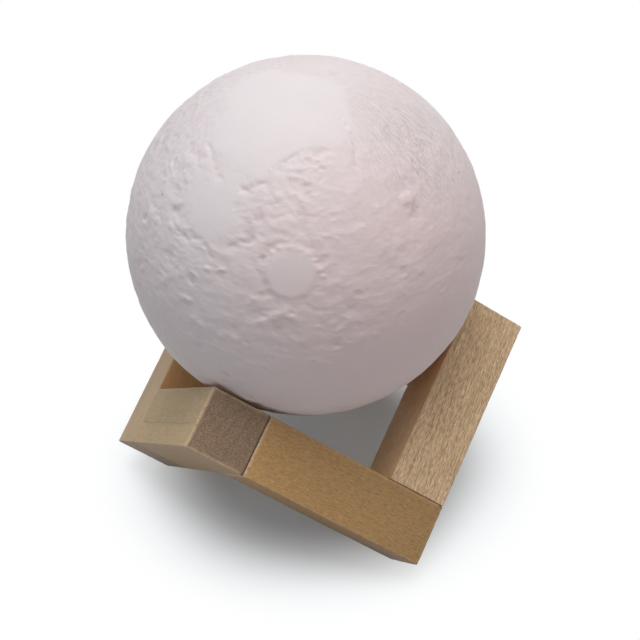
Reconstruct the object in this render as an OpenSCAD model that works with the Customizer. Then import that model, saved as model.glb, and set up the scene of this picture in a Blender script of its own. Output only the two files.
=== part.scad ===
// Moon lamp: a printed ball with crater relief, resting in an open stand of six square bars.
// The bars follow six edges of a cube that stands on one corner, so that three corners of the
// ring are feet and three hold the ball. Origin: on the floor, under the middle of the ball.
// +Z is up and -Y is the front. All sizes are in millimetres.

/* [Moon] */
// Diameter of the ball over its highest relief
moon_d = 120; // [110:1:130]
// Wall of the printed shell
moon_wall = 2.4; // [2.2:0.1:3]
// Depth of the deepest crater
crater_depth = 1.1; // [0.6:0.1:1.3]
// Number of craters strewn over the whole ball
crater_count = 46; // [0:1:60]
// Width of the smooth raised disc at the front
mesa_d = 17; // [12:1:20]
// Height of the neck inside the shell's opening
neck_h = 8.5; // [7:0.5:10]

/* [Stand] */
// Width and thickness of each square bar
bar_w = 21.5; // [20:0.5:24]
// Length of each bar
bar_l = 68.5; // [64:0.5:76]
// Depth to which the bars' edges are eased
edge_ease = 0.6; // [0.3:0.1:1]
// Height sanded off each foot's point, so that it stands flat
foot_flat = 1; // [0.8:0.1:1.6]
// Diameter of the corner dowels
dowel_d = 8; // [6:0.5:10]
// Length of the corner dowels
dowel_l = 24; // [18:1:30]

/* [Base plug] */
// Smallest outer diameter of the plug's flange
flange_d = 40; // [39:0.5:42]
// Thickness of the flange and of the plug's floor
flange_t = 1.8; // [1.6:0.1:2.2]
// Smallest opening in the shell for the plug: a longer cell widens it
opening_d = 35; // [35:0.25:36]
// Wall of the plug's cup
cup_wall = 1.6; // [1.4:0.1:1.8]
// Inside height of the cup, from floor to rim
cup_h = 18.8; // [18.8:0.2:22]
// Reach of each snap finger's catch over the neck
catch_reach = 1; // [0.6:0.1:1.2]

/* [Button and socket] */
// Diameter of the power button's cap
button_d = 10; // [8:0.25:10.5]
// Travel of the power button
button_travel = 1.2; // [0.6:0.1:1.4]
// Height by which the button stands proud of the floor
button_proud = 0.9; // [0.6:0.1:1.2]
// Width of the charging socket's metal shell
socket_w = 8.9; // [8:0.1:9.2]
// Thickness of the charging socket's metal shell
socket_t = 3.2; // [3:0.1:3.6]
// Diameter of the charging light's pipe
light_pipe_d = 2.4; // [1.8:0.1:2.8]

/* [Boards and battery] */
// Thickness of the control board
board_t = 1.2; // [1:0.1:1.6]
// Height of the control board above the cup's floor
board_lift = 6; // [5.8:0.1:6.4]
// Length of the battery cell
cell_l = 25; // [20:0.5:25]
// Width of the battery cell
cell_w = 20; // [16:0.5:20]
// Thickness of the battery cell
cell_t = 6; // [5:0.1:6.2]
// Thickness of the foam pad under the cell
pad_t = 1.6; // [1.5:0.1:1.8]
// Thread diameter of the five small screws
screw_d = 2; // [1.6:0.1:2.2]

/* [Light post] */
// Outer diameter of the post that lifts the light board
post_d = 17; // [16:0.5:19]
// Height of the light board's seat above the cup's rim
post_h = 26; // [20:1:32]
// Wall of the post and of the lid's skirt
post_wall = 1.5; // [1.2:0.1:1.8]
// Diameter of the light board
led_board_d = 22; // [20:0.5:24]
// Thickness of the light board
led_board_t = 1.2; // [1:0.1:1.6]
// Wall of the frosted dome over the lights
dome_wall = 1.2; // [1:0.1:1.6]
// Number of lights of each colour
led_count = 3; // [2:1:4]

/* [Fits] */
// Gap between the ball and each of the three faces that hold it
seat_gap = 0.2; // [0.1:0.05:0.3]
// Gap round the plug in the shell's opening
plug_gap = 0.2; // [0.15:0.05:0.3]
// Gap round small moving or slipped-in parts
slip_gap = 0.15; // [0.1:0.05:0.2]
// Gap round a dowel or a screw in its hole
hole_gap = 0.08; // [0.05:0.01:0.1]
// Room between the cup's bore and the cell with its leads
cell_gap = 0.2; // [0.1:0.05:0.4]

/* [Hidden] */
$fn = 96;
eps = 0.01;

// The ring of bars, in the frame of its cube: a foot of the ring lies on each axis
cube_side = bar_l + bar_w;
cube_tilt = acos(1 / sqrt(3));
third = 120;
foot_drop = bar_l / sqrt(3) + foot_flat;
moon_r = moon_d / 2;
moon_z = sqrt(3) * (moon_r + bar_w + seat_gap) - foot_drop;
dowel_r = dowel_d / 2;
dowel_hole_depth = dowel_l / 2 + 0.5;

// Leads: two out of the cell's end, three beside its other end
wire_r = 0.45;
wire_bend = 1.5;
lead_stub = 0.1;
lead_gap = 0.3;
cell_lead_y = 3.6;
led_lead_y = 1.5;
cell_ease = 1.8;

// The cup's bore clears the cell's corners and its leads and, inside the lid's skirt, the
// three leads; the opening and the flange follow it
corner_reach = norm([cell_l / 2 - cell_ease, cell_w / 2 - cell_ease]) + cell_ease;
cell_lead_reach = norm([cell_l / 2 + lead_stub + wire_bend + wire_r, cell_lead_y + wire_r]);
led_lead_reach = norm([cell_l / 2 + lead_gap + 2 * wire_r, led_lead_y + wire_r]) + post_wall + slip_gap;
cell_room = max(corner_reach, cell_lead_reach, led_lead_reach) + cell_gap;
cup_bore_r = max(opening_d / 2 - plug_gap - cup_wall, cell_room);
cup_r = cup_bore_r + cup_wall;
opening_r = cup_r + plug_gap;
flange_lip = 2.5;
flange_r = max(flange_d / 2, opening_r + flange_lip);

// Heights in the moon, measured from its centre
seat_z = -sqrt(pow(moon_r, 2) - pow(flange_r + 0.2, 2));
neck_r = flange_r;
neck_top_z = seat_z + neck_h;
cup_bottom_z = seat_z - flange_t;
cup_floor_z = seat_z;
cup_rim_z = cup_floor_z + cup_h;
board_z = cup_floor_z + board_lift;
board_top_z = board_z + board_t;
board_r = cup_bore_r - 2 * slip_gap;
cell_z = board_top_z + pad_t;

// Places on the cup's floor
button_x = -6.3;
button_r = button_d / 2;
button_rim = 0.9;
button_rim_t = 1;
button_stem_r = 1.9;
button_recess = 0.3;
socket_x = 6.6;
light_x = 1.4;
light_y = 7.4;
switch_w = 6;
switch_h = 2.4;
plunger_r = 1.6;
plunger_h = 1.6;
boss_wall = 1.2;
screw_r = screw_d / 2;
screw_hole_r = screw_r + hole_gap;
boss_r = screw_hole_r + boss_wall;
head_r = screw_d * 0.9;
head_h = screw_d * 0.55;
screw_l = 5;
board_post_r = cup_bore_r - boss_r - 0.35;
board_post_turns = [0, 141, 219];
carrier_boss_y = cup_bore_r - boss_r + 0.6;
finger_w = 7;
finger_slot = 1;
finger_turns = [60, 180, 300];
catch_h = 2.4;
button_face_z = cup_bottom_z - button_proud;
button_rim_z = cup_floor_z + slip_gap;
button_top_z = board_z - switch_h - plunger_h;
light_top_z = board_z - 1 - slip_gap;

// Chips under the board: place and size across in shares of its radius, height in its thicknesses
chips = [[0.1, -0.47, 0.32, 0.26, 1.1], [0.51, -0.56, 0.2, 0.2, 0.85],
    [0.42, 0.55, 0.21, 0.1, 0.9], [-0.17, 0.73, 0.1, 0.1, 0.75]];

// The light post on the cup's rim
lid_t = 1.6;
skirt_h = 2.2;
skirt_r = cup_bore_r - slip_gap;
post_r = post_d / 2;
lid_top_z = cup_rim_z + lid_t;
led_seat_z = cup_rim_z + post_h;
plate_t = 1.6;
plate_r = led_board_d / 2 + dome_wall + 2 * slip_gap;
led_r = led_board_d * 0.34;
dome_r = led_board_d / 2 + dome_wall + slip_gap;
lead_x = -(cell_l / 2 + wire_r + lead_gap);
lead_rise_x = -(post_r - post_wall - wire_r - 0.6);
lead_turn_z = cup_rim_z - 1.3 - wire_bend;

// Relief that the photo shows: [turn round Z, height angle, radius, share of the full depth]
dishes = [
    [-116, 17, 5.2, 0.8], [-94, 7, 4.6, 0.7], [-75, 3, 4, 0.75], [-104, 1, 3.8, 0.6],
    [-134, 20, 4.4, 0.8], [-125, 4, 4.2, 0.65], [-104, 36, 4, 0.8], [-85, 48, 3.8, 0.55],
    [-110, 46, 3.4, 0.5], [-57, 54, 3.6, 0.5], [-46, 30, 3.2, 0.9], [-60, 20, 5.5, 0.45],
    [-70, 34, 4.8, 0.5], [-136, 36, 3, 0.7], [-150, 10, 4.2, 0.6], [-32, 12, 4.5, 0.5]];
mesa_turn = -91.5;
mesa_rise = 22.5;
moat_w = 4;
// Every crater keeps this angle from the plug, from the three seats and from named relief
plug_clear = 27;
seat_clear = 10;
dish_clear = 11;
mesa_clear = 15;
golden_turn = 180 * (3 - sqrt(5));
seat_turns = [240, 0, 120];
seat_rise = -asin(1 / sqrt(3));

// ---------- helpers ----------

// A unit vector from a turn round Z and an angle above the horizon
function aim(turn, rise) = [cos(rise) * cos(turn), cos(rise) * sin(turn), sin(rise)];

function angle_between(a, b) = acos(max(-1, min(1, a * b)));

// Direction of strewn crater i: evenly spread round the ball on a golden spiral
function strewn(i) = aim(i * golden_turn, asin(1 - 2 * (i + 0.5) / crater_count));

function strewn_radius(i) = 2.2 + 3.4 * pow(rands(0, 1, 1, 300 + i)[0], 2);

function strewn_share(i) = 0.4 + 0.5 * rands(0, 1, 1, 700 + i)[0];

// True where a strewn crater would not touch the plug, a seat or relief named above
function is_free(d) =
    angle_between(d, [0, 0, -1]) > plug_clear
    && angle_between(d, aim(mesa_turn, mesa_rise)) > mesa_clear
    && min([for (t = seat_turns) angle_between(d, aim(t, seat_rise))]) > seat_clear
    && min([for (c = dishes) angle_between(d, aim(c[0], c[1]))]) > dish_clear;

// Radius of the cutting sphere whose dish in the ball is a wide and d deep
function dish_cutter_r(a, d) =
    let (rim_drop = moon_r - sqrt(moon_r * moon_r - a * a), sink = d - rim_drop)
    (a * a + sink * sink) / (2 * sink);

module stand_up() {
    translate([0, 0, -foot_drop])
        rotate([0, 0, third])
            rotate([0, -cube_tilt, 0])
                rotate([0, 0, -45])
                    children();
}

module at_moon() {
    translate([0, 0, moon_z]) children();
}

module look_along(d) {
    rotate([0, 90 - asin(d[2]), atan2(d[1], d[0])]) children();
}

// A cylinder with eased rims, standing on the origin
module pin(r, h, ease) {
    rotate_extrude()
        polygon([[0, 0], [r - ease, 0], [r, ease], [r, h - ease], [r - ease, h], [0, h]]);
}

// A rounded plate, standing on the origin and centred on it
module rounded_block(x, y, z, r) {
    translate([-x / 2, -y / 2 + r, 0]) cube([x, y - 2 * r, z]);
    translate([-x / 2 + r, -y / 2, 0]) cube([x - 2 * r, y, z]);
    for (sx = [-1, 1], sy = [-1, 1])
        translate([sx * (x / 2 - r), sy * (y / 2 - r), 0]) cylinder(r = r, h = z);
}

// ---------- stand ----------

module eased_square(a, b) {
    e = edge_ease;
    polygon([[e, 0], [a - e, 0], [a, e], [a, b - e], [a - e, b], [e, b], [0, b - e], [0, e]]);
}

// One bar along X: it butts on a neighbour at x = 0, and carries the next one on its
// side y = 0 at the other end
module bar() {
    difference() {
        intersection() {
            linear_extrude(bar_w) eased_square(bar_l, bar_w);
            translate([0, bar_w, 0]) rotate([90, 0, 0]) linear_extrude(bar_w) eased_square(bar_l, bar_w);
            rotate([90, 0, 90]) linear_extrude(bar_l) eased_square(bar_w, bar_w);
        }
        translate([-eps, bar_w / 2, bar_w / 2])
            rotate([0, 90, 0]) cylinder(r = dowel_r + hole_gap, h = dowel_hole_depth + eps);
        translate([bar_l - bar_w / 2, -eps, bar_w / 2])
            rotate([-90, 0, 0]) cylinder(r = dowel_r + hole_gap, h = dowel_hole_depth + eps);
    }
}

// Places a bar that climbs from a foot to a seat: along the cube's third axis
module as_rising() {
    translate([bar_w, bar_l, bar_w])
        rotate([0, -90, 0])
            children();
}

// Places a bar that falls from a seat to the next foot: along the cube's second axis
module as_falling() {
    translate([bar_w, bar_l, cube_side])
        rotate([180, 0, -90])
            children();
}

module rising_bar(turn) {
    rotate([0, 0, turn]) stand_up() as_rising() bar();
}

module falling_bar(turn) {
    difference() {
        rotate([0, 0, turn]) stand_up() as_falling() bar();
        translate([0, 0, -cube_side]) cylinder(r = cube_side, h = cube_side);
    }
}

// The two dowels that each pair of bars brings: one in each bar's foot end
module dowel() {
    translate([-dowel_l / 2, bar_w / 2, bar_w / 2]) rotate([0, 90, 0]) pin(dowel_r, dowel_l, 0.5);
}

module left_front_bar() {
    color("tan") rising_bar(0);
}

module front_bar() {
    color("burlywood") falling_bar(0);
}

module right_front_bar() {
    color("tan") rising_bar(third);
}

module right_back_bar() {
    color("burlywood") falling_bar(third);
}

module back_bar() {
    color("tan") rising_bar(2 * third);
}

module left_back_bar() {
    color("burlywood") falling_bar(2 * third);
}

module stand_dowels() {
    color("wheat")
        for (k = [0:2])
            rotate([0, 0, k * third])
                stand_up() {
                    as_rising() dowel();
                    as_falling() dowel();
                }
}

// ---------- moon ----------

module dish(d, a, depth) {
    cut_r = dish_cutter_r(a, depth);
    translate(d * (moon_r - depth + cut_r)) sphere(r = cut_r);
}

// A ring-shaped groove that leaves its middle standing as a round, flat-topped rise
module moat(d, a) {
    depth = crater_depth * 0.6;
    cut_r = (pow(moat_w / 2, 2) + depth * depth) / (2 * depth);
    ring_r = a + moat_w / 2;
    ring_z = sqrt(moon_r * moon_r - ring_r * ring_r) - depth + cut_r;
    look_along(d)
        translate([0, 0, ring_z])
            rotate_extrude() translate([ring_r, 0]) circle(r = cut_r);
}

module moon_shell() {
    color([0.9, 0.86, 0.88])
        at_moon()
            difference() {
                union() {
                    difference() {
                        sphere(r = moon_r, $fn = 180);
                        sphere(r = moon_r - moon_wall, $fn = 180);
                    }
                    intersection() {
                        translate([0, 0, seat_z - 1]) cylinder(r = neck_r, h = neck_h + 1);
                        sphere(r = moon_r - moon_wall / 2, $fn = 180);
                    }
                }
                translate([0, 0, -moon_r - 1]) cylinder(r = flange_r + 4, h = moon_r + 1 + seat_z);
                translate([0, 0, seat_z - 1]) cylinder(r = opening_r, h = neck_h + 2);
                moat(aim(mesa_turn, mesa_rise), mesa_d / 2);
                for (c = dishes) dish(aim(c[0], c[1]), c[2], c[3] * crater_depth);
                if (crater_count > 0)
                    for (i = [0:crater_count - 1])
                        if (is_free(strewn(i)))
                            dish(strewn(i), strewn_radius(i), strewn_share(i) * crater_depth);
            }
}

// ---------- base plug ----------

module board_posts(r, h) {
    for (t = board_post_turns) rotate([0, 0, t]) translate([board_post_r, 0, 0]) cylinder(r = r, h = h);
}

module carrier_bosses(r, h) {
    for (s = [-1, 1]) translate([0, s * carrier_boss_y, 0]) cylinder(r = r, h = h);
}

// Slot-shaped outline of the charging socket, long way along Y
module socket_outline(grow) {
    r = socket_t / 2 + grow;
    reach = socket_w / 2 - socket_t / 2;
    for (s = [-1, 1]) translate([0, s * reach]) circle(r = r);
    translate([-r, -reach]) square([2 * r, 2 * reach]);
}

module snap_catches() {
    intersection() {
        translate([0, 0, neck_top_z + slip_gap])
            rotate_extrude()
                polygon([[cup_r - cup_wall / 2, 0], [cup_r + plug_gap + catch_reach, 0],
                    [cup_r + plug_gap + catch_reach, 0.4], [cup_r, catch_h], [cup_r - cup_wall / 2, catch_h]]);
        for (t = finger_turns)
            rotate([0, 0, t]) translate([0, -finger_w / 2, neck_top_z]) cube([moon_r, finger_w, catch_h + 1]);
    }
}

module finger_slots() {
    for (t = finger_turns, s = [-1, 1])
        rotate([0, 0, t])
            translate([cup_bore_r - 1, s * (finger_w + finger_slot) / 2 - finger_slot / 2, seat_z + 3])
                cube([cup_wall + 3, finger_slot, cup_rim_z - skirt_h - seat_z]);
}

module base_cup() {
    color([0.93, 0.92, 0.9])
        at_moon()
            difference() {
                union() {
                    rotate_extrude()
                        difference() {
                            union() {
                                translate([0, cup_bottom_z]) square([flange_r - 0.6, flange_t]);
                                translate([0, cup_bottom_z + 0.6]) square([flange_r, flange_t - 0.6]);
                                translate([flange_r - 0.6, cup_bottom_z + 0.6]) circle(r = 0.6, $fn = 48);
                                translate([0, seat_z - eps]) square([cup_r, cup_h + eps]);
                            }
                            translate([0, cup_floor_z]) square([cup_bore_r, cup_h + 1]);
                        }
                    translate([0, 0, cup_floor_z - eps]) {
                        board_posts(boss_r, board_lift + eps);
                        carrier_bosses(boss_r, cup_h - skirt_h + eps);
                    }
                    snap_catches();
                }
                finger_slots();
                translate([button_x, 0, cup_bottom_z - 1]) cylinder(r = button_r + slip_gap, h = flange_t + 2);
                translate([button_x, 0, cup_bottom_z - eps])
                    cylinder(r = button_r + slip_gap + 0.8, h = button_recess + eps);
                translate([socket_x, 0, cup_bottom_z - 1])
                    linear_extrude(flange_t + 2) socket_outline(slip_gap);
                translate([light_x, light_y, cup_bottom_z - 1])
                    cylinder(r = light_pipe_d / 2 + slip_gap, h = flange_t + 2);
                translate([0, 0, board_z - screw_l])
                    board_posts(screw_hole_r, screw_l + 1);
                translate([0, 0, cup_rim_z - skirt_h - screw_l])
                    carrier_bosses(screw_hole_r, screw_l + 1);
            }
}

// The cap shows below the floor, its rim stays inside, and its stem meets the switch
module power_button() {
    crown = 0.5;
    crown_r = (button_r * button_r + crown * crown) / (2 * crown);
    color([0.86, 0.85, 0.84])
        at_moon() translate([button_x, 0, 0])
            union() {
                intersection() {
                    translate([0, 0, button_face_z]) cylinder(r = button_r, h = button_rim_z - button_face_z + eps);
                    translate([0, 0, button_face_z + crown_r]) sphere(r = crown_r, $fn = 180);
                }
                translate([0, 0, button_rim_z]) cylinder(r = button_r + button_rim, h = button_rim_t);
                translate([0, 0, button_rim_z])
                    cylinder(r = button_stem_r, h = button_top_z - button_rim_z);
            }
}

// At full press its top still stands a slip gap below the board
module switch_plunger() {
    color([0.2, 0.2, 0.22])
        at_moon() translate([button_x, 0, button_top_z]) pin(plunger_r, plunger_h + button_travel - slip_gap, 0.2);
}

module switch_body() {
    color([0.16, 0.16, 0.17])
        at_moon() translate([button_x, 0, board_z - switch_h])
            difference() {
                rounded_block(switch_w, switch_w, switch_h, 0.6);
                translate([0, 0, -eps])
                    cylinder(r = plunger_r + slip_gap, h = button_travel * 2 + slip_gap + eps);
            }
}

module charge_socket() {
    socket_h = board_z - cup_bottom_z - 0.4;
    shell_t = 0.3;
    tongue_t = 0.7;
    color([0.75, 0.76, 0.78])
        at_moon() translate([socket_x, 0, board_z - socket_h])
            difference() {
                linear_extrude(socket_h) socket_outline(0);
                difference() {
                    translate([0, 0, -eps]) linear_extrude(socket_h - 1.2) socket_outline(-shell_t);
                    translate([-tongue_t / 2, -socket_w / 2 + 1.2, 0.8])
                        cube([tongue_t, socket_w - 2.4, socket_h]);
                }
            }
}

module light_pipe() {
    r = light_pipe_d / 2;
    color([0.92, 0.95, 0.97])
        at_moon() translate([light_x, light_y, cup_bottom_z - 0.1])
            union() {
                pin(r, light_top_z - cup_bottom_z + 0.1, 0.15);
                translate([0, 0, flange_t + 0.1 + slip_gap]) cylinder(r = r + 0.6, h = 0.8);
            }
}

module charge_led() {
    color([0.95, 0.9, 0.6])
        at_moon() translate([light_x, light_y, board_z - 1])
            rounded_block(1.6, 0.9, 1, 0.2);
}

module control_board() {
    color([0.12, 0.36, 0.2])
        at_moon() translate([0, 0, board_z])
            difference() {
                cylinder(r = board_r, h = board_t);
                translate([0, 0, -1]) board_posts(screw_hole_r + 0.1, board_t + 2);
                translate([0, 0, -1]) carrier_bosses(boss_r + 0.25, board_t + 2);
            }
}

// Charger, controller and two small capacitors on the board's underside
module control_chips() {
    color([0.1, 0.1, 0.11])
        at_moon()
            for (c = chips)
                translate([c[0] * board_r, c[1] * board_r, board_z - c[4] * board_t])
                    rounded_block(c[2] * board_r, c[3] * board_r, c[4] * board_t, 0.013 * board_r);
}

module small_screw() {
    translate([0, 0, -screw_l + 0.4]) cylinder(r = screw_r, h = screw_l - 0.4 + eps);
    difference() {
        pin(head_r, head_h, 0.2);
        translate([0, 0, head_h * 0.45]) {
            translate([-head_r * 0.6, -0.2, 0]) cube([head_r * 1.2, 0.4, head_h]);
            translate([-0.2, -head_r * 0.6, 0]) cube([0.4, head_r * 1.2, head_h]);
        }
    }
}

module board_screws() {
    color([0.7, 0.71, 0.73])
        at_moon() translate([0, 0, board_top_z])
            for (t = board_post_turns) rotate([0, 0, t]) translate([board_post_r, 0, 0]) small_screw();
}

module battery_pad() {
    color([0.25, 0.25, 0.27])
        at_moon() translate([0, 0, board_top_z]) rounded_block(cell_l * 0.56, cell_w * 0.56, pad_t, 1);
}

module battery_cell() {
    color([0.78, 0.79, 0.81])
        at_moon() translate([0, 0, cell_z]) rounded_block(cell_l, cell_w, cell_t, cell_ease);
}

module wire_corner() {
    rotate_extrude(angle = 90) translate([wire_bend, 0]) circle(r = wire_r, $fn = 32);
}

// Two leads out of the cell's end, down to the board
module battery_leads() {
    top_z = cell_z + cell_t * 0.5;
    end_x = cell_l / 2 + lead_stub + wire_bend;
    color([0.6, 0.1, 0.1])
        at_moon()
            for (s = [-1, 1])
                translate([0, s * cell_lead_y, 0]) {
                    translate([cell_l / 2, 0, top_z])
                        rotate([0, 90, 0]) cylinder(r = wire_r, h = lead_stub, $fn = 32);
                    translate([cell_l / 2 + lead_stub, 0, top_z - wire_bend])
                        rotate([90, 0, 0]) wire_corner();
                    translate([end_x, 0, board_top_z])
                        cylinder(r = wire_r, h = top_z - wire_bend - board_top_z, $fn = 32);
                }
}

// ---------- light post ----------

// The slot that the three leads rise through, with room round them
module lead_passage(room, bottom_z, h) {
    translate([lead_rise_x - wire_r - room, -led_lead_y - wire_r - room, bottom_z])
        cube([2 * (wire_r + room), 2 * (led_lead_y + wire_r + room), h]);
}

module led_carrier() {
    color([0.95, 0.95, 0.94])
        at_moon()
            difference() {
                union() {
                    rotate_extrude()
                        difference() {
                            union() {
                                translate([0, cup_rim_z]) square([cup_r, lid_t]);
                                translate([0, cup_rim_z - skirt_h]) square([skirt_r, skirt_h + eps]);
                                translate([0, lid_top_z - eps]) square([post_r, post_h - lid_t]);
                                translate([0, led_seat_z - plate_t]) square([plate_r, plate_t]);
                                polygon([[post_r, lid_top_z], [post_r + 2.5, lid_top_z], [post_r, lid_top_z + 2.5]]);
                                polygon([[post_r, led_seat_z - plate_t], [plate_r, led_seat_z - plate_t],
                                    [post_r, led_seat_z - plate_t - (plate_r - post_r)]]);
                            }
                            translate([0, cup_rim_z - skirt_h - 1])
                                square([skirt_r - post_wall, skirt_h + 1]);
                            translate([0, cup_rim_z - 1])
                                square([post_r - post_wall, post_h - plate_t + 1]);
                        }
                    intersection() {
                        translate([0, 0, cup_rim_z - skirt_h]) carrier_bosses(boss_r, skirt_h + eps);
                        translate([0, 0, cup_rim_z - skirt_h]) cylinder(r = skirt_r, h = skirt_h + eps);
                    }
                }
                translate([0, 0, cup_rim_z - skirt_h - 1])
                    carrier_bosses(screw_hole_r, lid_t + skirt_h + 2);
                lead_passage(0.5, led_seat_z - plate_t - 1, plate_t + 2);
            }
}

module carrier_screws() {
    color([0.7, 0.71, 0.73])
        at_moon() translate([0, 0, lid_top_z])
            for (s = [-1, 1]) translate([0, s * carrier_boss_y, 0]) small_screw();
}

module led_board() {
    color([0.92, 0.93, 0.93])
        at_moon() translate([0, 0, led_seat_z])
            difference() {
                cylinder(r = led_board_d / 2, h = led_board_t);
                lead_passage(0.3, -1, led_board_t + 2);
            }
}

module lights(first) {
    at_moon() translate([0, 0, led_seat_z + led_board_t])
        for (i = [0:led_count - 1])
            rotate([0, 0, first + i * 360 / led_count])
                translate([led_r, 0, 0]) {
                    rounded_block(2.8, 3.5, 0.5, 0.3);
                    translate([0, 0, 0.5 - eps]) rounded_block(2.2, 2.8, 0.2 + eps, 0.3);
                }
}

module warm_leds() {
    color([0.98, 0.85, 0.45]) lights(0);
}

module white_leds() {
    color([0.98, 0.96, 0.8]) lights(180 / led_count);
}

// Three leads from the board, in under the lid and up the post to the light board
module led_leads() {
    level_z = lead_turn_z + wire_bend;
    color([0.75, 0.7, 0.2])
        at_moon()
            for (s = [-1, 0, 1])
                translate([0, s * led_lead_y, 0]) {
                    translate([lead_x, 0, board_top_z])
                        cylinder(r = wire_r, h = lead_turn_z - board_top_z, $fn = 32);
                    translate([lead_x + wire_bend, 0, lead_turn_z])
                        rotate([90, 0, 180]) wire_corner();
                    translate([lead_x + wire_bend, 0, level_z]) rotate([0, 90, 0])
                        cylinder(r = wire_r, h = lead_rise_x - lead_x - 2 * wire_bend, $fn = 32);
                    translate([lead_rise_x - wire_bend, 0, level_z + wire_bend])
                        rotate([90, 90, 0]) wire_corner();
                    translate([lead_rise_x, 0, level_z + wire_bend])
                        cylinder(r = wire_r, h = led_seat_z + led_board_t - level_z - wire_bend, $fn = 32);
                }
}

module diffuser_dome() {
    color([0.97, 0.97, 0.96])
        at_moon() translate([0, 0, led_seat_z])
            rotate_extrude()
                intersection() {
                    difference() {
                        circle(r = dome_r);
                        circle(r = dome_r - dome_wall);
                    }
                    square(dome_r + 1);
                }
}

left_front_bar();
front_bar();
right_front_bar();
right_back_bar();
back_bar();
left_back_bar();
stand_dowels();
moon_shell();
base_cup();
power_button();
switch_plunger();
switch_body();
charge_socket();
light_pipe();
charge_led();
control_board();
control_chips();
board_screws();
battery_cell();
battery_pad();
battery_leads();
led_carrier();
carrier_screws();
led_board();
warm_leds();
white_leds();
led_leads();
diffuser_dome();
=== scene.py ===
"""Looks of a moon lamp: a printed ball with crater relief in an open stand of six square bars.

The file is laid out as an add-on and is run as a script. Lengths are in metres and in the
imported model's frame; names that end in _mm hold millimetres.
"""

import itertools
import math

import bmesh
import bpy
import numpy as np
from bpy.props import FloatProperty, FloatVectorProperty, IntProperty, PointerProperty
from mathutils import Matrix, Vector, noise


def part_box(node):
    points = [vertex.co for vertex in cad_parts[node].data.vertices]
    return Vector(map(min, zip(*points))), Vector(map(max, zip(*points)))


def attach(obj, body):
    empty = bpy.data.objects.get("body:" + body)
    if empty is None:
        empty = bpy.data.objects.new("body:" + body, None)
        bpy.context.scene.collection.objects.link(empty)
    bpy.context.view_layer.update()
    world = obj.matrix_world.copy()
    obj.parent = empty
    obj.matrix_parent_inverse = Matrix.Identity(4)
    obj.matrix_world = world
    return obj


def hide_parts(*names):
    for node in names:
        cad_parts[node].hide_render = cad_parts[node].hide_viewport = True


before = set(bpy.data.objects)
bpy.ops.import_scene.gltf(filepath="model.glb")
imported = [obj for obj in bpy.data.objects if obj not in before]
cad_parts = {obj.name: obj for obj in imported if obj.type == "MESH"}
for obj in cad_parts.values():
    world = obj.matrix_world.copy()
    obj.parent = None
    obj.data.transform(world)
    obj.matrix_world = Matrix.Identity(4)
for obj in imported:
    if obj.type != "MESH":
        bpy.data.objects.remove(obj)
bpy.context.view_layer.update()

bl_info = {
    "name": "Moon lamp on a ring of bars",
    "version": (1, 0, 0),
    "blender": (4, 5, 0),
    "location": "View3D > Sidebar > Moon lamp",
    "description": "Builds the ball, the bars and the stage around the packed model",
    "category": "Object",
}

MM = 0.001
UP = Vector((0, 0, 1))


def hex_colour(code):
    """Linear RGBA of an sRGB hex value such as #E8E0E4."""
    parts = [int(code[i : i + 2], 16) / 255 for i in (1, 3, 5)]
    linear = [p / 12.92 if p <= 0.04045 else ((p + 0.055) / 1.055) ** 2.4 for p in parts]
    return (*linear, 1.0)


def box_size(node):
    low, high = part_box(node)
    return high - low


# ---------------------------------------------------------------- sizes and colours


def length(name, description, default):
    return FloatProperty(name=name, description=description, default=default, unit="LENGTH")


def angle(name, description, degrees):
    return FloatProperty(
        name=name, description=description, default=math.radians(degrees), subtype="ANGLE"
    )


def colour_of(name, description, code):
    return FloatVectorProperty(
        name=name, description=description, subtype="COLOR", size=4, default=hex_colour(code)
    )


class MoonSettings(bpy.types.PropertyGroup):
    """Sizes and colours of the ball."""

    diameter: length("Diameter", "Ball over its highest relief", round(box_size("moon_shell").x, 5))
    wall: length("Wall", "Wall of the printed shell", 0.0024)
    relief: length("Relief", "Depth of the deepest crater below the ball's sphere", 0.0011)
    opening: length("Opening", "Diameter of the opening that the plug clips into", 0.035)
    neck: length("Neck", "Height of the opening's neck", 0.0085)
    columns: IntProperty(
        name="Columns", description="Mesh columns round the ball", default=560, min=60
    )
    rows: IntProperty(
        name="Rows", description="Mesh rows from the top to the opening", default=400, min=40
    )
    shell: colour_of("Shell", "Colour of the printed shell", "#EBE5E7")
    highland: colour_of("Highlands", "Colour of the shell on its rough land", "#EAE1E3")
    # Painted shade: the ball is painted towards this colour down in its hollows
    hollow: colour_of("Hollows", "Colour of the shell down in its hollows", "#DDCDD0")


class StandSettings(bpy.types.PropertyGroup):
    """Sizes and colours of the six bars."""

    bar_width: length("Bar width", "Width and thickness of a bar", 0.0215)
    bar_length: length("Bar length", "Length of a bar", 0.0685)
    easing: length("Easing", "Radius of the eased edges", 0.0006)
    foot_flat: length("Foot flat", "Height sanded off each foot's point", 0.001)
    dowel: length("Dowel", "Diameter of the corner dowels' bores", 0.00816)
    dowel_depth: length("Dowel bore", "Depth of the bores", 0.0125)
    heartwood: colour_of("Golden beech", "Colour of the front bar", "#A78556")
    sapwood: colour_of("Pale beech", "Colour of the pale bars", "#B59B77")
    olive_beech: colour_of("Olive-tan beech", "Colour of the left bar", "#AD946B")
    rippled: colour_of("Rippled beech", "Colour of the right bar", "#C8AC87")
    end_grain: colour_of("End grain", "Colour of the cut ends", "#866F59")


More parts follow.
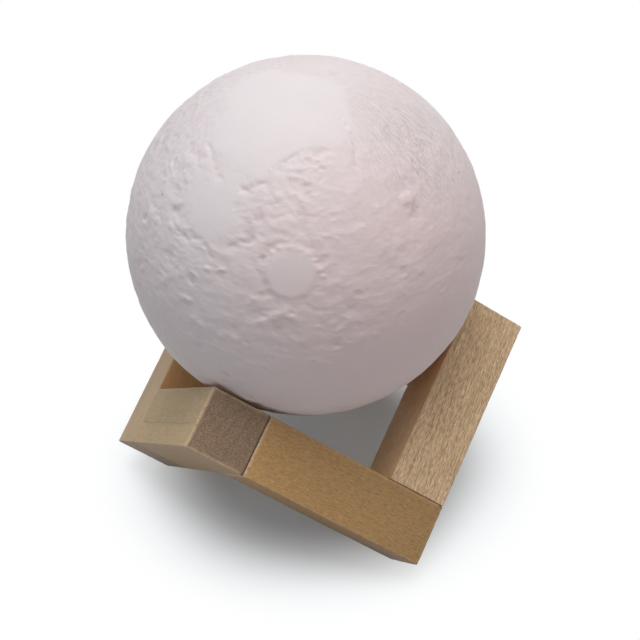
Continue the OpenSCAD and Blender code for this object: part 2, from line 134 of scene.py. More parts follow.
class StageSettings(bpy.types.PropertyGroup):
    """Camera, light and floor."""

    camera_place: FloatVectorProperty(
        name="Camera", description="Place of the camera", subtype="TRANSLATION",
        default=(0.02996, -0.41374, 0.36436),
    )
    camera_turn: angle("Camera turn", "Angle of the view to the left of straight ahead", 3.66)
    camera_tilt: angle("Camera tilt", "Angle of the view below level", 35.69)
    camera_roll: angle("Camera roll", "Turn of the picture about the view", 2.33)
    lens: FloatProperty(
        name="Lens", description="Focal length on a 36 mm frame, in millimetres", default=82.66
    )
    sun: FloatProperty(
        name="Overhead light", description="Strength of the wide overhead light", default=2.3
    )
    sky: FloatProperty(
        name="Room light", description="Strength of the light from all round", default=0.312
    )
    floor_clear: length(
        "Floor fade", "Distance from the ball's axis at which the floor is plain white", 0.089
    )


def settings():
    scene = bpy.context.scene
    return scene.moon_lamp_moon, scene.moon_lamp_stand, scene.moon_lamp_stage


# ---------------------------------------------------------------- shader nodes


class Nodes:
    """Adds nodes to a shader tree. A given input is a socket, which is linked, or a plain value."""

    def __init__(self, owner):
        owner.use_nodes = True
        self.tree = owner.node_tree
        self.tree.nodes.clear()

    def feed(self, node, inputs):
        """Sets or links inputs of a node, by their name or number."""
        for key, given in inputs.items():
            if isinstance(given, bpy.types.NodeSocket):
                self.tree.links.new(given, node.inputs[key])
            else:
                node.inputs[key].default_value = given

    def add(self, kind, inputs=None, **fields):
        """A new node with its inputs and its own fields set."""
        node = self.tree.nodes.new(kind)
        for name, value in fields.items():
            setattr(node, name, value)
        self.feed(node, inputs or {})
        return node

    def coords(self, output="Object"):
        return self.add("ShaderNodeTexCoord").outputs[output]

    def attribute(self, name):
        return self.add("ShaderNodeAttribute", attribute_name=name).outputs["Fac"]

    def math(self, operation, *inputs):
        return self.add("ShaderNodeMath", dict(enumerate(inputs)), operation=operation).outputs[0]

    def vector(self, operation, *inputs):
        node = self.add("ShaderNodeVectorMath", dict(enumerate(inputs)), operation=operation)
        return node.outputs["Value" if operation in ("LENGTH", "DISTANCE") else "Vector"]

    def scaled(self, vector, factor):
        """The vector or colour times a number."""
        inputs = {0: vector, "Scale": factor}
        return self.add("ShaderNodeVectorMath", inputs, operation="SCALE").outputs["Vector"]

    def parts(self, vector):
        return self.add("ShaderNodeSeparateXYZ", {"Vector": vector}).outputs

    def at_scale(self, vector, scale):
        """A texture's place and scale; three numbers, one for each axis, stretch the texture."""
        if isinstance(scale, tuple):
            mapping = self.add("ShaderNodeMapping", {"Vector": vector, "Scale": scale})
            vector, scale = mapping.outputs[0], 1.0
        return {"Vector": vector, "Scale": scale}

    def noise(self, vector, scale, detail=2.0, roughness=0.5, output="Fac"):
        inputs = {**self.at_scale(vector, scale), "Detail": detail, "Roughness": roughness}
        return self.add("ShaderNodeTexNoise", inputs).outputs[output]

    def cells(self, vector, scale):
        """Distance from the middle of the nearest cell, and a random number for each cell."""
        cells = self.add("ShaderNodeTexVoronoi", self.at_scale(vector, scale)).outputs
        lot = self.add("ShaderNodeSeparateColor", {"Color": cells["Color"]})
        return cells["Distance"], lot.outputs["Red"]

    def remap(self, value, low=0.0, high=1.0, to_low=0.0, to_high=1.0, **fields):
        """Takes the range from low to high over into that from to_low to to_high."""
        inputs = dict(enumerate((value, low, high, to_low, to_high)))
        return self.add("ShaderNodeMapRange", inputs, **fields).outputs[0]

    def mix(self, share, first, second):
        """Goes from the first colour to the second."""
        inputs = {0: share, 6: first, 7: second}
        return self.add("ShaderNodeMix", inputs, data_type="RGBA").outputs[2]

    def ramp(self, value, stops, interpolation="LINEAR"):
        """A colour ramp; each stop is a position and a linear colour."""
        node = self.add("ShaderNodeValToRGB", {"Fac": value})
        elements = node.color_ramp.elements
        while len(elements) < len(stops):
            elements.new(1.0)
        for element, (place, colour) in zip(elements, stops):
            element.position = place
            element.color = colour
        node.color_ramp.interpolation = interpolation
        return node.outputs["Color"]

    def bump(self, height, strength, distance):
        inputs = {"Height": height, "Strength": strength, "Distance": distance}
        return self.add("ShaderNodeBump", inputs).outputs[0]

    def seen(self):
        """1 for rays that end in the picture, straight or by a mirror or glass, and 0 for light."""
        rays = self.add("ShaderNodeLightPath").outputs
        direct = self.math("MAXIMUM", rays["Is Camera Ray"], rays["Is Glossy Ray"])
        return self.math("MAXIMUM", direct, rays["Is Transmission Ray"])


def grey(value):
    return (value, value, value, 1.0)


def opaque(colour):
    return (*colour, 1.0)


def new_material(name, **whole_surface):
    """A material with a Principled shader; whole_surface sets that shader's own sockets."""
    material = bpy.data.materials.new(name)
    nodes = Nodes(material)
    inputs = {key.replace("_", " "): value for key, value in whole_surface.items()}
    shader = nodes.add("ShaderNodeBsdfPrincipled", inputs)
    nodes.add("ShaderNodeOutputMaterial", {"Surface": shader.outputs[0]})
    return material, nodes, shader


# ---------------------------------------------------------------- meshes and directions


def dress(material, *cad_nodes):
    """Gives carried-over CAD nodes their material."""
    for name in cad_nodes:
        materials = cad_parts[name].data.materials
        materials.clear()
        materials.append(material)


def add_object(name, mesh):
    obj = bpy.data.objects.new(name, mesh)
    bpy.context.scene.collection.objects.link(obj)
    return obj


def mesh_object(name, points, faces, material, smooth=True):
    """A new object in the scene with one material."""
    mesh = bpy.data.meshes.new(name)
    mesh.from_pydata([tuple(p) for p in points], [], [tuple(f) for f in faces])
    mesh.validate()
    mesh.shade_smooth() if smooth else mesh.shade_flat()
    mesh.materials.append(material)
    return add_object(name, mesh)


def set_fields(mesh, fields):
    """Writes a value for each point, which the material reads as an attribute."""
    for name, values in fields.items():
        attribute = mesh.attributes.new(name, "FLOAT", "POINT")
        attribute.data.foreach_set("value", values.astype(np.float32))


def smoothstep(low, high, x):
    """0 at low and 1 at high with a soft start and end; low may be the greater."""
    t = np.clip((x - low) / (high - low), 0, 1)
    return t * t * (3 - 2 * t)


def direction(turn, rise):
    """Unit vector from a turn round Z and an angle above the horizon, in degrees."""
    t, r = math.radians(turn), math.radians(rise)
    return np.array((math.cos(r) * math.cos(t), math.cos(r) * math.sin(t), math.sin(r)))


# ---------------------------------------------------------------- the ball's relief

# Smooth raised plains: turn, rise, radius in mm
PLAINS = [
    (-111, 56, 9.5), (-131, 59.5, 8), (-107, 67, 14), (-79, 76.5, 14), (-67, 67, 8.5),
    (-149, 77, 10), (-120.5, 36, 9), (-129, 39, 6.5), (-113, 33.5, 5), (-117, 43.5, 5.5),
    (160, 25, 17), (128, 38, 12), (95, 5, 15), (60, 30, 11), (35, 8, 9), (20, 42, 10),
    (178, -10, 12), (-160, 5, 7), (-20, -20, 9), (70, -30, 12), (150, -40, 10), (-140, -32, 8),
    (-90, -40, 9), (5, -5, 6),
]
# The round, flat-topped rise at the front: turn, rise, radius in mm
MESA = (-91, 21.9, 7.5)
# Hollows: turn, rise, radius in mm, depth as a share of the whole relief
HOLLOWS = [
    (-108.8, 44.1, 1.8, 0.4), (-100.8, 46.1, 1.7, 0.4), (-85.7, 46.5, 2.4, 0.3),
    (-102, 36.9, 1.6, 0.5), (-104.1, 31.8, 2, 0.45), (-44.8, 31.6, 2.9, 0.5),
    (-44.8, 40, 2.4, 0.3), (-108.6, 2.3, 2.2, 0.5), (-137.6, 32.1, 2.4, 0.6),
    (-78.4, -0.6, 2, 0.5), (-122.2, -7.9, 3, 0.4), (-56.6, 49.8, 2, 0.3), (-96.6, 51.6, 1.6, 0.3),
    (-52.4, 57.4, 2, 0.3), (-100.3, 14.8, 1.8, 0.4), (-95.8, 4.9, 1.8, 0.4),
    (-133.5, 18.6, 3.2, 0.45), (-58.6, 18, 5.5, 0.15), (-68.8, 32.6, 4.2, 0.15),
    (-150.1, 8.1, 4, 0.4), (-28.7, 8.5, 4.5, 0.15), (-72.9, 9.9, 3, 0.3),
]
# Knobs: turn, rise, radius in mm, height as a share of the whole relief
KNOBS = [
    (-44.9, 36, 2.0, 0.85), (-47.8, 36.2, 1.5, 0.5), (-74.2, 6.3, 1.5, 0.3),
    (-71.1, -0.4, 1.7, 0.35), (-79, 5.8, 1.5, 0.3), (-120.3, 1.4, 1.6, 0.3),
    (-122.4, 2.8, 1.4, 0.3), (-113, -0.9, 1.5, 0.3), (-108.9, -0.6, 1.5, 0.25),
    (-78.7, -3.1, 1.4, 0.3), (-66.8, -0.5, 1.3, 0.25), (-121.6, -14.4, 1.8, 0.25),
    (-104.7, -9.1, 1.6, 0.25), (-144.5, 26, 1.8, 0.35), (-149.2, 26, 1.8, 0.3),
    (-136.3, 27.2, 1.7, 0.35), (-137.1, 34.1, 1.8, 0.3), (-147.8, 8.4, 1.8, 0.35),
    (-134.8, 10.6, 1.9, 0.35), (-127.6, 15.5, 2, 0.3), (-91.3, -17.9, 1.5, 0.2),
    (-67.7, 41.7, 3.2, 0.2), (-55.6, 25.2, 2.2, 0.18), (-49.3, 14.7, 2.8, 0.15),
    (-57.5, 10.7, 3.4, 0.14), (-35.3, 44.4, 3.4, 0.2), (-21.9, 20, 2.3, 0.15),
    (-91, 37, 3.6, 0.15),
    # Small ones on the mesa's rim
    (-97.2, 27.8, 1.1, 0.3), (-94.4, 29.3, 1.0, 0.34), (-91.4, 29.8, 1.1, 0.34),
    (-88.2, 29.0, 0.8, 0.36), (-85.9, 27.6, 1.2, 0.24), (-82.2, 23, 1.1, 0.26),
    (-80.9, 20.9, 0.8, 0.24), (-83.4, 25.6, 0.8, 0.28), (-82.6, 18.4, 1.0, 0.16),
]
# Creases: half width in mm, height in mm (grooves are below 0), and points as turn and rise
CREASES = [
    (1.5, 0.09, [(-86, 31.5), (-76, 31), (-67.8, 32.6), (-60, 33.4)]),
    (1.1, -0.3, [(-138.3, 53.6), (-130.2, 50.1), (-125.5, 47.4), (-121.5, 44.9)]),
    (1.0, -0.24, [(-55.9, 65.6), (-55.1, 61.4), (-56.5, 57.1), (-59.1, 54), (-61.9, 51)]),
    (1.0, -0.3, [(-100.6, 51.4), (-97.9, 52.8), (-93.2, 54.1), (-89.1, 56.1)]),
    (0.9, -0.2, [(-86, 57), (-80, 57.4), (-72, 56.9), (-65.7, 55.3)]),
    (1.3, -0.36, [(-111.5, 44.6), (-106.6, 46.2), (-101.6, 48.1)]),
    (1.4, -0.34, [(-106.4, 32.7), (-105.3, 35.1), (-102.9, 38.4)]),
    (1.2, -0.42, [(-132.3, 26.3), (-127.7, 26.4), (-123.6, 27.4)]),
    (1.1, -0.36, [(-120.5, 25.8), (-118.4, 23.8), (-115.9, 23.1)]),
    (1.1, -0.34, [(-111.5, 27.7), (-108, 28.9), (-104.6, 30.5)]),
    (0.8, -0.25, [(34.7, 85.1), (-21.5, 83.4), (-34.7, 80.2)]),
    (0.9, 0.36, [(-118.4, 20.2), (-115.6, 20.5), (-112.6, 20.9)]),
    (0.9, 0.36, [(-126.8, 7.7), (-123.7, 7.9)]),
    (0.9, 0.3, [(-104, 12.2), (-102.1, 14.1)]),
    (1.2, 0.42, [(-99.7, 6.7), (-97.7, 8.3), (-95.3, 9.2), (-92.8, 9.9), (-91, 8.5)]),
    (0.9, 0.32, [(-86.1, -6.1), (-81.9, -8.5)]),
    (1.0, 0.28, [(-95.8, 51.2), (-91.1, 52.5), (-83.4, 51.8), (-77.1, 53.2)]),
    (1.0, 0.24, [(-91.9, 49.8), (-85.5, 48.4)]),
    (1.1, 0.24, [(-97.2, 43.5), (-90.7, 44.3), (-85.9, 41.8)]),
]
# Quiet land, where the relief is low: turn, rise, radius in mm, share that is left
QUIET = [
    (-10, 8, 36, 0.28), (-114, 15, 9, 0.6), (-75, -30, 30, 0.4), (-40, -12, 26, 0.4),
    (-50, 18, 20, 0.75), (80, 50, 24, 0.5), (170, -35, 26, 0.5),
]
# Where fine hatching runs down from the pole: turn, rise, radius in mm, strength
HATCHED = [
    (-24, 50, 21, 1.7), (-62, 72, 8, 0.4), (-160, 52, 17, 0.6), (165, 45, 24, 0.8),
    (40, 45, 20, 1.0), (100, 60, 20, 0.8),
]
# Where the print lines are rough
DRAGGED = [
    (-40, 12, 20, 0.4), (165, 0, 24, 0.6), (60, 10, 22, 0.6),
]
# Lively land, where the relief is strong
LIVELY = [
    (-96, 42, 20, 1.2), (-140, 22, 26, 0.8), (-108, 3, 20, 1.3), (-80, 3, 16, 1.25),
    (-30, 52, 20, 0.55), (40, 20, 26, 1.3), (130, 0, 26, 1.35), (-170, 45, 22, 1.3),
]
# Turn and rise of the three places where the bars hold the ball
SEATS = [(240, -35.264), (0, -35.264), (120, -35.264)]
STREWN_CRATERS = 150
CRATER_SEED = 41
# Blender's vector noise takes its offsets from the clock unless it has a seed
WANDER_SEED = 41
MOON_RADIUS_MM = 60.0
# Mean heights of the rough land, the plains and the mesa against the ball's sphere, and the
# height that nothing rises above, so that the relief stays inside the sphere
LAND_MM, PLAIN_MM, MESA_MM, CREST_MM = -0.4, -0.18, -0.16, -0.14
# Heights of the broad swell, the folds, the lumps and the small relief on rough land
SWELL_MM, FOLDS_MM, LUMPS_MM, SMALL_MM = 0.12, 0.14, 0.24, 0.1
# Distances over which the relief fades in, from a seat's middle and from the ball's lowest point
SEAT_FADE_MM, OPENING_FADE_MM = (2.0, 9.0), (20.2, 26.0)
# How far a plain's border reaches inwards and outwards
PLAIN_BORDER_MM = (2.6, 2.2)
# Distance of the moat's middle from the mesa's edge, its half width and its depth
MOAT_MM = (1.8, 1.7, 0.72)


def arc_mm(points, centre):
    """Distance along the ball from each unit vector to a centre, in mm."""
    return np.arccos(np.clip(points @ centre, -1, 1)) * MOON_RADIUS_MM


def bell(points, turn, rise, radius, sharpness=1.0):
    """1 in the middle of a round place, and towards 0 outside its radius in mm."""
    t = arc_mm(points, direction(turn, rise)) / radius
    return np.exp(-(t**2) * sharpness)


def fractal(points, scale, octaves, roughness=1.0, shift=0.0):
    offset = Vector((shift, -shift, 2 * shift))
    return np.array(
        [noise.fractal(Vector(p) * scale + offset, roughness, 2.1, octaves) for p in points]
    )


def folded(points, scale, octaves):
    """Branching creases between 0 and about 1."""
    heights = [
        noise.ridged_multi_fractal(Vector(p) * scale, 0.9, 2.1, octaves, 1.0, 1.6) for p in points
    ]
    return np.array(heights) / 2.2


def wandered(points, amount, scale):
    """The points moved about by a soft random field, so that borders wander."""
    moved = np.array([Vector(p) + noise.noise_vector(Vector(p) * scale) * amount for p in points])
    return moved / np.linalg.norm(moved, axis=1)[:, None]


def crater_profile(t):
    """Height of a crater at t radii from its middle: a bowl of depth 1 with a raised lip."""
    bowl = -np.clip(1 - t**2, 0, 1) ** 0.8
    bowl = np.where(t < 1, np.maximum(bowl * 1.25, -1), 0)
    lip = 0.42 * np.exp(-(((t - 1.08) / 0.2) ** 2))
    return bowl * (1 - smoothstep(0.85, 1.05, t)) + lip


def strewn_craters():
    """Craters strewn over the ball, many small and few wide: direction, radius in mm, share."""
    rng = np.random.default_rng(CRATER_SEED)
    golden = math.pi * (3 - math.sqrt(5))
    for i in range(STREWN_CRATERS):
        z = 1 - 2 * (i + 0.5) / STREWN_CRATERS + rng.uniform(-0.03, 0.03)
        z = min(0.985, max(-0.9, z))
        turn = i * golden + rng.uniform(-0.4, 0.4)
        flat = math.sqrt(1 - z * z)
        radius = 1.3 + 4.6 * rng.uniform() ** 4
        middle = np.array((flat * math.cos(turn), flat * math.sin(turn), z))
        yield middle, radius, rng.uniform(0.12, 0.3)


def plain_share(points):
    """1 on the smooth plains and 0 on the rough highlands."""
    loose = wandered(points, 0.075, 4.5)
    inwards, outwards = PLAIN_BORDER_MM
    share = np.zeros(len(points))
    for turn, rise, radius in PLAINS:
        away = arc_mm(loose, direction(turn, rise))
        share = np.maximum(share, 1 - smoothstep(radius - inwards, radius + outwards, away))
    return share


def land_vigour(points):
    """How strong the relief is, from 0.2 on quiet land to 1.5 on lively land."""
    vigour = 0.85 + 0.5 * fractal(points, 2.6, 2, shift=5.0)
    for turn, rise, radius, share in QUIET + LIVELY:
        vigour *= 1 + (share - 1) * bell(points, turn, rise, radius)
    return np.clip(vigour, 0.2, 1.5)


def crease_distance_mm(points, line):
    """Distance from each unit vector to a crease's line, in mm."""
    away = np.full(len(points), 9.0)
    for start, end in zip(line, line[1:]):
        a, b = direction(*start), direction(*end)
        along = np.clip(((points - a) @ (b - a)) / ((b - a) @ (b - a)), 0, 1)
        beside = np.linalg.norm(points - a - along[:, None] * (b - a), axis=1)
        away = np.minimum(away, beside * MOON_RADIUS_MM)
    return away


def relief_mm(points, depth):
    """Height of the relief below the ball's sphere, in mm, at unit vectors."""
    loose = wandered(points, 0.05, 6.0)
    near = wandered(points, 0.022, 15.0)
    close = wandered(points, 0.01, 26.0)
    plain = plain_share(points)
    lively = land_vigour(points)

    # The printer draws the land in level strokes, so its lumps are a little longer than high
    layered = near * (1, 1, 1.35)
    swell = fractal(near, 5, 4, 0.9)
    folds = folded(loose * (1, 1, 1.4), 8, 3) - 0.5
    lumps = fractal(layered, 11, 3, 0.7, 3.0)
    small = fractal(layered, 26, 2, 0.6, 7.0)
    # It is strongest on the plains' borders
    vigour = lively * (1 + plain * (1 - plain))
    uneven = vigour * (FOLDS_MM * folds + LUMPS_MM * lumps + SMALL_MM * small)
    rough = LAND_MM + SWELL_MM * swell + uneven
    height = rough * (1 - plain) + plain * (PLAIN_MM + 0.06 * swell + 0.02 * lumps)

    open_land = (1 - 0.8 * plain) * np.clip(lively, 0.2, 1)
    for centre, radius, share in strewn_craters():
        t = arc_mm(near, centre) / radius
        inside = t < 1.8
        height[inside] += (share * crater_profile(t[inside])) * open_land[inside]
    for turn, rise, radius, share in HOLLOWS:
        height -= 0.75 * share * bell(close, turn, rise, radius, 1.5) * (1 - 0.3 * plain)

    # Creases, thinned and broken here and there by the small relief
    broken = np.clip(0.75 + 1.3 * small + 1.5 * lumps, 0.05, 1.5)
    for half_width, rise_mm, line in CREASES:
        away = crease_distance_mm(close, line)
        height += rise_mm * broken * np.exp(-((away / half_width) ** 2))

    # The mesa stands above its moat, which is deepest on its upper left and uneven inside
    turn, rise, mesa_radius = MESA
    moat_away, moat_half, moat_depth = MOAT_MM
    middle = direction(turn, rise)
    away = arc_mm(wandered(points, 0.012, 16.0), middle)
    leftward = (points - middle) @ direction(-160, 60)
    moat_share = np.clip(0.75 + 0.35 * leftward * MOON_RADIUS_MM / mesa_radius, 0.4, 1.1)
    moat = np.exp(-(((away - mesa_radius - moat_away) / moat_half) ** 2)) * moat_share
    height = height * (1 - 0.7 * moat) - 0.7 * moat_depth * moat + 0.2 * moat * (lumps + small)
    top = 1 - smoothstep(mesa_radius - 1.0, mesa_radius + 1.1, away)
    height = height * (1 - top) + top * (MESA_MM + 0.03 * swell)

    for turn, rise, radius, share in KNOBS:
        height += 1.2 * share * bell(close, turn, rise, radius, 1.8)

    for turn, rise in SEATS:
        height *= smoothstep(*SEAT_FADE_MM, arc_mm(points, direction(turn, rise)))
    height *= smoothstep(*OPENING_FADE_MM, arc_mm(points, np.array((0, 0, -1.0))))

    over = height > CREST_MM
    height = np.where(over, CREST_MM * np.exp(-(height - CREST_MM) / -CREST_MM), height)
    return np.maximum(height, -depth)


def printed_pla(moon):
    """PLA, warm white, 3-D printed in layers round the upright axis.

    Printing leaves fine lines that follow the layers. They catch the light as faint streaks,
    nearly level at the sides and wide apart near the top, where the ball flattens out. The
    plastic is matt, lets a little light in, and has a few dark specks of scorched filament.
    """
    material, nodes, shader = new_material(
        "PLA printed warm white", Roughness=0.6, IOR=1.46, Specular_IOR_Level=0.3,
        Subsurface_Weight=0.12, Subsurface_Radius=(0.006, 0.0035, 0.003), Subsurface_Scale=1.0,
    )
    place = nodes.coords()
    # Painted shade: the shell is painted towards the hollow colour where the relief is low
    hollow_shade = nodes.remap(nodes.attribute("relief"), 0.1, 0.5, 1.0, 0.0)
    land = nodes.mix(nodes.attribute("rough_land"), moon.shell, moon.highland)
    land = nodes.mix(hollow_shade, land, moon.hollow)
    # Painted warm light: a broad patch at the front right is painted rosier, and a little darker in
    # green and blue, as warm light from the right would show it
    _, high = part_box("moon_shell")
    radius = moon.diameter / 2
    patch = direction(-62, 14) * radius + np.array((0, 0, high.z - radius))
    away = nodes.vector("DISTANCE", place, tuple(patch))
    painted_warm_patch = nodes.remap(away, 14 * MM, 66 * MM, 1.0, 0.0, interpolation_type="SMOOTHSTEP")
    land = nodes.mix(painted_warm_patch, land, nodes.vector("MULTIPLY", land, (1.015, 0.93, 0.925)))
    # Mottling about 12 mm across, from the spool's uneven colour
    mottle = nodes.noise(place, 85.0, 4.0, 0.6)
    tone = nodes.remap(mottle, to_low=0.975, to_high=1.025)
    # The relief was wrapped round the ball from a flat map, so its grain is squeezed near the
    # pole into hatching that runs down from it, about 1 mm apart at a rise of 50 degrees
    round_axis = nodes.vector("NORMALIZE", nodes.vector("MULTIPLY", place, (1, 1, 0)))
    upright = nodes.vector("MULTIPLY", place, (0, 0, 360))
    squeezed = nodes.vector("MULTIPLY_ADD", round_axis, (46, 46, 0), upright)
    hatching = nodes.noise(squeezed, 1.0, 3.0, 0.6)
    share = nodes.attribute("hatched")
    hatched = nodes.math("MULTIPLY", hatching, share)
    # Painted shade: its grooves are painted a little darker, and the rises between them a little
    # paler
    groove_shade = nodes.math("MULTIPLY", nodes.math("SUBTRACT", hatching, 0.47), share)
    tone = nodes.math("MULTIPLY_ADD", groove_shade, 0.34, tone)
    # Specks about 0.5 mm wide, one to a few square centimetres
    away, lot = nodes.cells(place, 120.0)
    rare, small = nodes.math("GREATER_THAN", lot, 0.965), nodes.math("LESS_THAN", away, 0.045)
    speck = nodes.math("MULTIPLY", nodes.math("MULTIPLY", rare, small), 0.55)
    colour = nodes.mix(speck, nodes.scaled(land, tone), hex_colour("#6A5B56"))

    # Layer lines: real ones are 0.2 mm apart, drawn about 0.65 mm apart and broken to show
    layers = nodes.noise(place, (300, 300, 1650))
    grain = nodes.noise(place, 460.0, 4.0, 0.62)
    vigour = nodes.attribute("strokes")
    grain = nodes.math("MULTIPLY", grain, nodes.remap(vigour, to_low=0.2))
    strokes = nodes.remap(vigour, to_low=0.1, to_high=0.5, clamp=False)
    height = nodes.math("MULTIPLY_ADD", nodes.math("MULTIPLY", layers, strokes), 0.8, grain)
    # Here and there the head dragged, and left coarser dashes about 0.8 mm apart, 3.5 mm long
    dashes = nodes.noise(place, (280, 280, 1250), 3.0)
    dragged = nodes.math("MULTIPLY", dashes, nodes.attribute("dragged"))
    for lines, depth in ((dragged, 2.4), (hatched, 5.0)):
        height = nodes.math("MULTIPLY_ADD", lines, depth, height)
    nodes.feed(shader, {"Base Color": colour, "Normal": nodes.bump(height, 1.0, 0.14 * MM)})
    return material


ROWS_INSIDE = 60


def moon_profile(moon, centre_z):
    """The shell's profile as (radius, height) pairs, from the top outside round to the top inside.

    The first moon.rows pairs are rows of the outer sphere.
    """
    outer = moon.diameter / 2
    low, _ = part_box("moon_shell")
    foot = low.z - centre_z
    last = math.acos(foot / outer)
    angles = [last * (i + 1) / moon.rows for i in range(moon.rows)]
    pairs = [(outer * math.sin(a), outer * math.cos(a)) for a in angles]
    bore = moon.opening / 2
    neck_outer = bore + 2.5 * MM
    neck_top = foot + moon.neck
    inner = outer - moon.wall
    # The bore's lower and upper rims each have a row 0.8 mm in, which keeps them crisp
    pairs += [(bore + 0.9 * MM, foot), (bore, foot), (bore, foot + 0.8 * MM)]
    pairs += [(bore, neck_top - 0.8 * MM), (bore, neck_top)]
    pairs += [(bore + 1.2 * MM, neck_top), (neck_outer, neck_top)]
    first = math.acos(-math.sqrt(inner**2 - neck_outer**2) / inner)
    angles = [first * (1 - i / ROWS_INSIDE) for i in range(ROWS_INSIDE)]
    return pairs + [(inner * math.sin(a), inner * math.cos(a)) for a in angles]


def ball_faces(rows, columns):
    """Quads between the rows, and triangles round the two tips, which are the last points."""
    here = np.arange(columns)
    after = (here + 1) % columns
    faces = []
    for row in range(rows - 1):
        a, b = row * columns, (row + 1) * columns
        faces += np.column_stack((a + here, b + here, b + after, a + after)).tolist()
    tip, inner_tip, last = rows * columns, rows * columns + 1, (rows - 1) * columns
    faces += np.column_stack((np.full(columns, tip), here, after)).tolist()
    faces += np.column_stack((np.full(columns, inner_tip), last + after, last + here)).tolist()
    return faces


def ball_fields(unit, height, depth):
    """What the material reads on the outer sphere: how high, rough and marked the land is."""
    on_mesa = smoothstep(MESA[2] + 0.5, MESA[2] - 1.5, arc_mm(unit, direction(*MESA[:2])))
    rough = 1 - 0.8 * np.maximum(plain_share(unit), on_mesa)
    strokes = rough * np.clip(land_vigour(unit), 0, 1)
    fields = {"relief": 1 + height / depth, "rough_land": rough, "strokes": strokes}
    for name, places in (("hatched", HATCHED), ("dragged", DRAGGED)):
        fields[name] = np.zeros(len(unit))
        for turn, rise, radius, strength in places:
            fields[name] += strength * bell(unit, turn, rise, radius) * (0.2 + 0.8 * rough)
    return fields


class MOONLAMP_OT_ball(bpy.types.Operator):
    """Builds the printed ball with its plains, craters, mesa and creases"""

    bl_idname = "moon_lamp.ball"
    bl_label = "Ball"

    def execute(self, context):
        noise.seed_set(WANDER_SEED)
        moon = settings()[0]
        radius, depth, columns, rows = moon.diameter / 2, moon.relief / MM, moon.columns, moon.rows
        _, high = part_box("moon_shell")
        centre_z = high.z - radius
        pairs = moon_profile(moon, centre_z)
        turns = np.arange(columns) * math.tau / columns
        ring = np.column_stack((np.cos(turns), np.sin(turns)))
        grid = np.array([np.column_stack((ring * r, np.full(columns, z))) for r, z in pairs])
        outside = grid[:rows].reshape(-1, 3)
        unit = outside / np.linalg.norm(outside, axis=1)[:, None]
        height = relief_mm(unit, depth)
        grid[:rows] = (unit * (radius + height[:, None] * MM)).reshape(rows, columns, 3)

        tip_height = float(relief_mm(np.array([[0.0, 0.0, 1.0]]), depth)[0])
        tips = np.array([(0, 0, radius + tip_height * MM), (0, 0, radius - moon.wall)])
        points = np.vstack((grid.reshape(-1, 3), tips)) + np.array((0, 0, centre_z))
        faces = ball_faces(len(pairs), columns)
        ball = mesh_object("moon_ball", points, faces, printed_pla(moon))
        # The inside is plain and counts as level land
        inside = len(points) - len(unit)
        fields = ball_fields(unit, height, depth)
        for name, values in fields.items():
            fields[name] = np.append(values, np.full(inside, float(name == "relief")))
        set_fields(ball.data, fields)
        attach(ball, "moon")
        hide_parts("moon_shell")
        return {"FINISHED"}


# ---------------------------------------------------------------- the stand

# Mesh cells along a bar and across its two other sides
BAR_CELLS = (110, 34, 34)


def cube_axes():
    """Directions of the cube's three edges that rise from its standing corner."""
    rise = math.degrees(math.asin(1 / math.sqrt(3)))
    return [direction(60, rise), direction(180, rise), direction(300, rise)]


def bar_matrix(stand, rising, turn):
    """Places a bar, drawn along X from its butt end, on its edge of the standing cube."""
    w, l = stand.bar_width, stand.bar_length
    p, q, r = cube_axes()
    if rising:
        x, y, z, start = r, q, -p, w * p + l * q + w * r
    else:
        x, y, z, start = -q, -p, -r, w * p + l * q + (l + w) * r
    start = start - np.array((0, 0, l / math.sqrt(3) + stand.foot_flat))
    matrix = Matrix((*zip(x, y, z, start), (0, 0, 0, 1)))
    return Matrix.Rotation(math.radians(turn), 4, "Z") @ matrix


def eased_box(size, radius, cells):
    """Points and quads of a box with rounded edges, from the origin, with fine rows there."""
    arc = [radius * s for s in (0, 0.25, 0.6, 1.0)]
    lines = []
    for length_of_side, count in zip(size, cells):
        middle = np.linspace(radius, length_of_side - radius, count + 1)[1:-1]
        end = [length_of_side - a for a in reversed(arc)]
        lines.append(np.array(arc + list(middle) + end))
    index, points, faces = {}, [], []

    def corner(place):
        if place not in index:
            p = np.array([line[step] for line, step in zip(lines, place)])
            core = np.clip(p, radius, np.array(size) - radius)
            out = p - core
            reach = np.linalg.norm(out)
            index[place] = len(points)
            points.append(core + out / reach * radius if reach > 1e-12 else p)
        return index[place]

    counts = [len(line) - 1 for line in lines]
    for axis in range(3):
        u, v = (axis + 1) % 3, (axis + 2) % 3
        for side, a, b in itertools.product((0, counts[axis]), range(counts[u]), range(counts[v])):
            loop = []
            for da, db in ((0, 0), (1, 0), (1, 1), (0, 1)):
                place = [0, 0, 0]
                place[axis], place[u], place[v] = side, a + da, b + db
                loop.append(corner(tuple(place)))
            faces.append(loop if side else loop[::-1])
    return np.array(points), faces


def bore_cutter(radius, depth, matrix):
    """A closed round pin that cuts a dowel bore."""
    mesh = bpy.data.meshes.new("bore")
    bm = bmesh.new()
    bmesh.ops.create_cone(
        bm, cap_ends=True, segments=40, radius1=radius, radius2=radius, depth=2 * depth,
        matrix=matrix,
    )
    bm.to_mesh(mesh)
    bm.free()
    return add_object("bore", mesh)


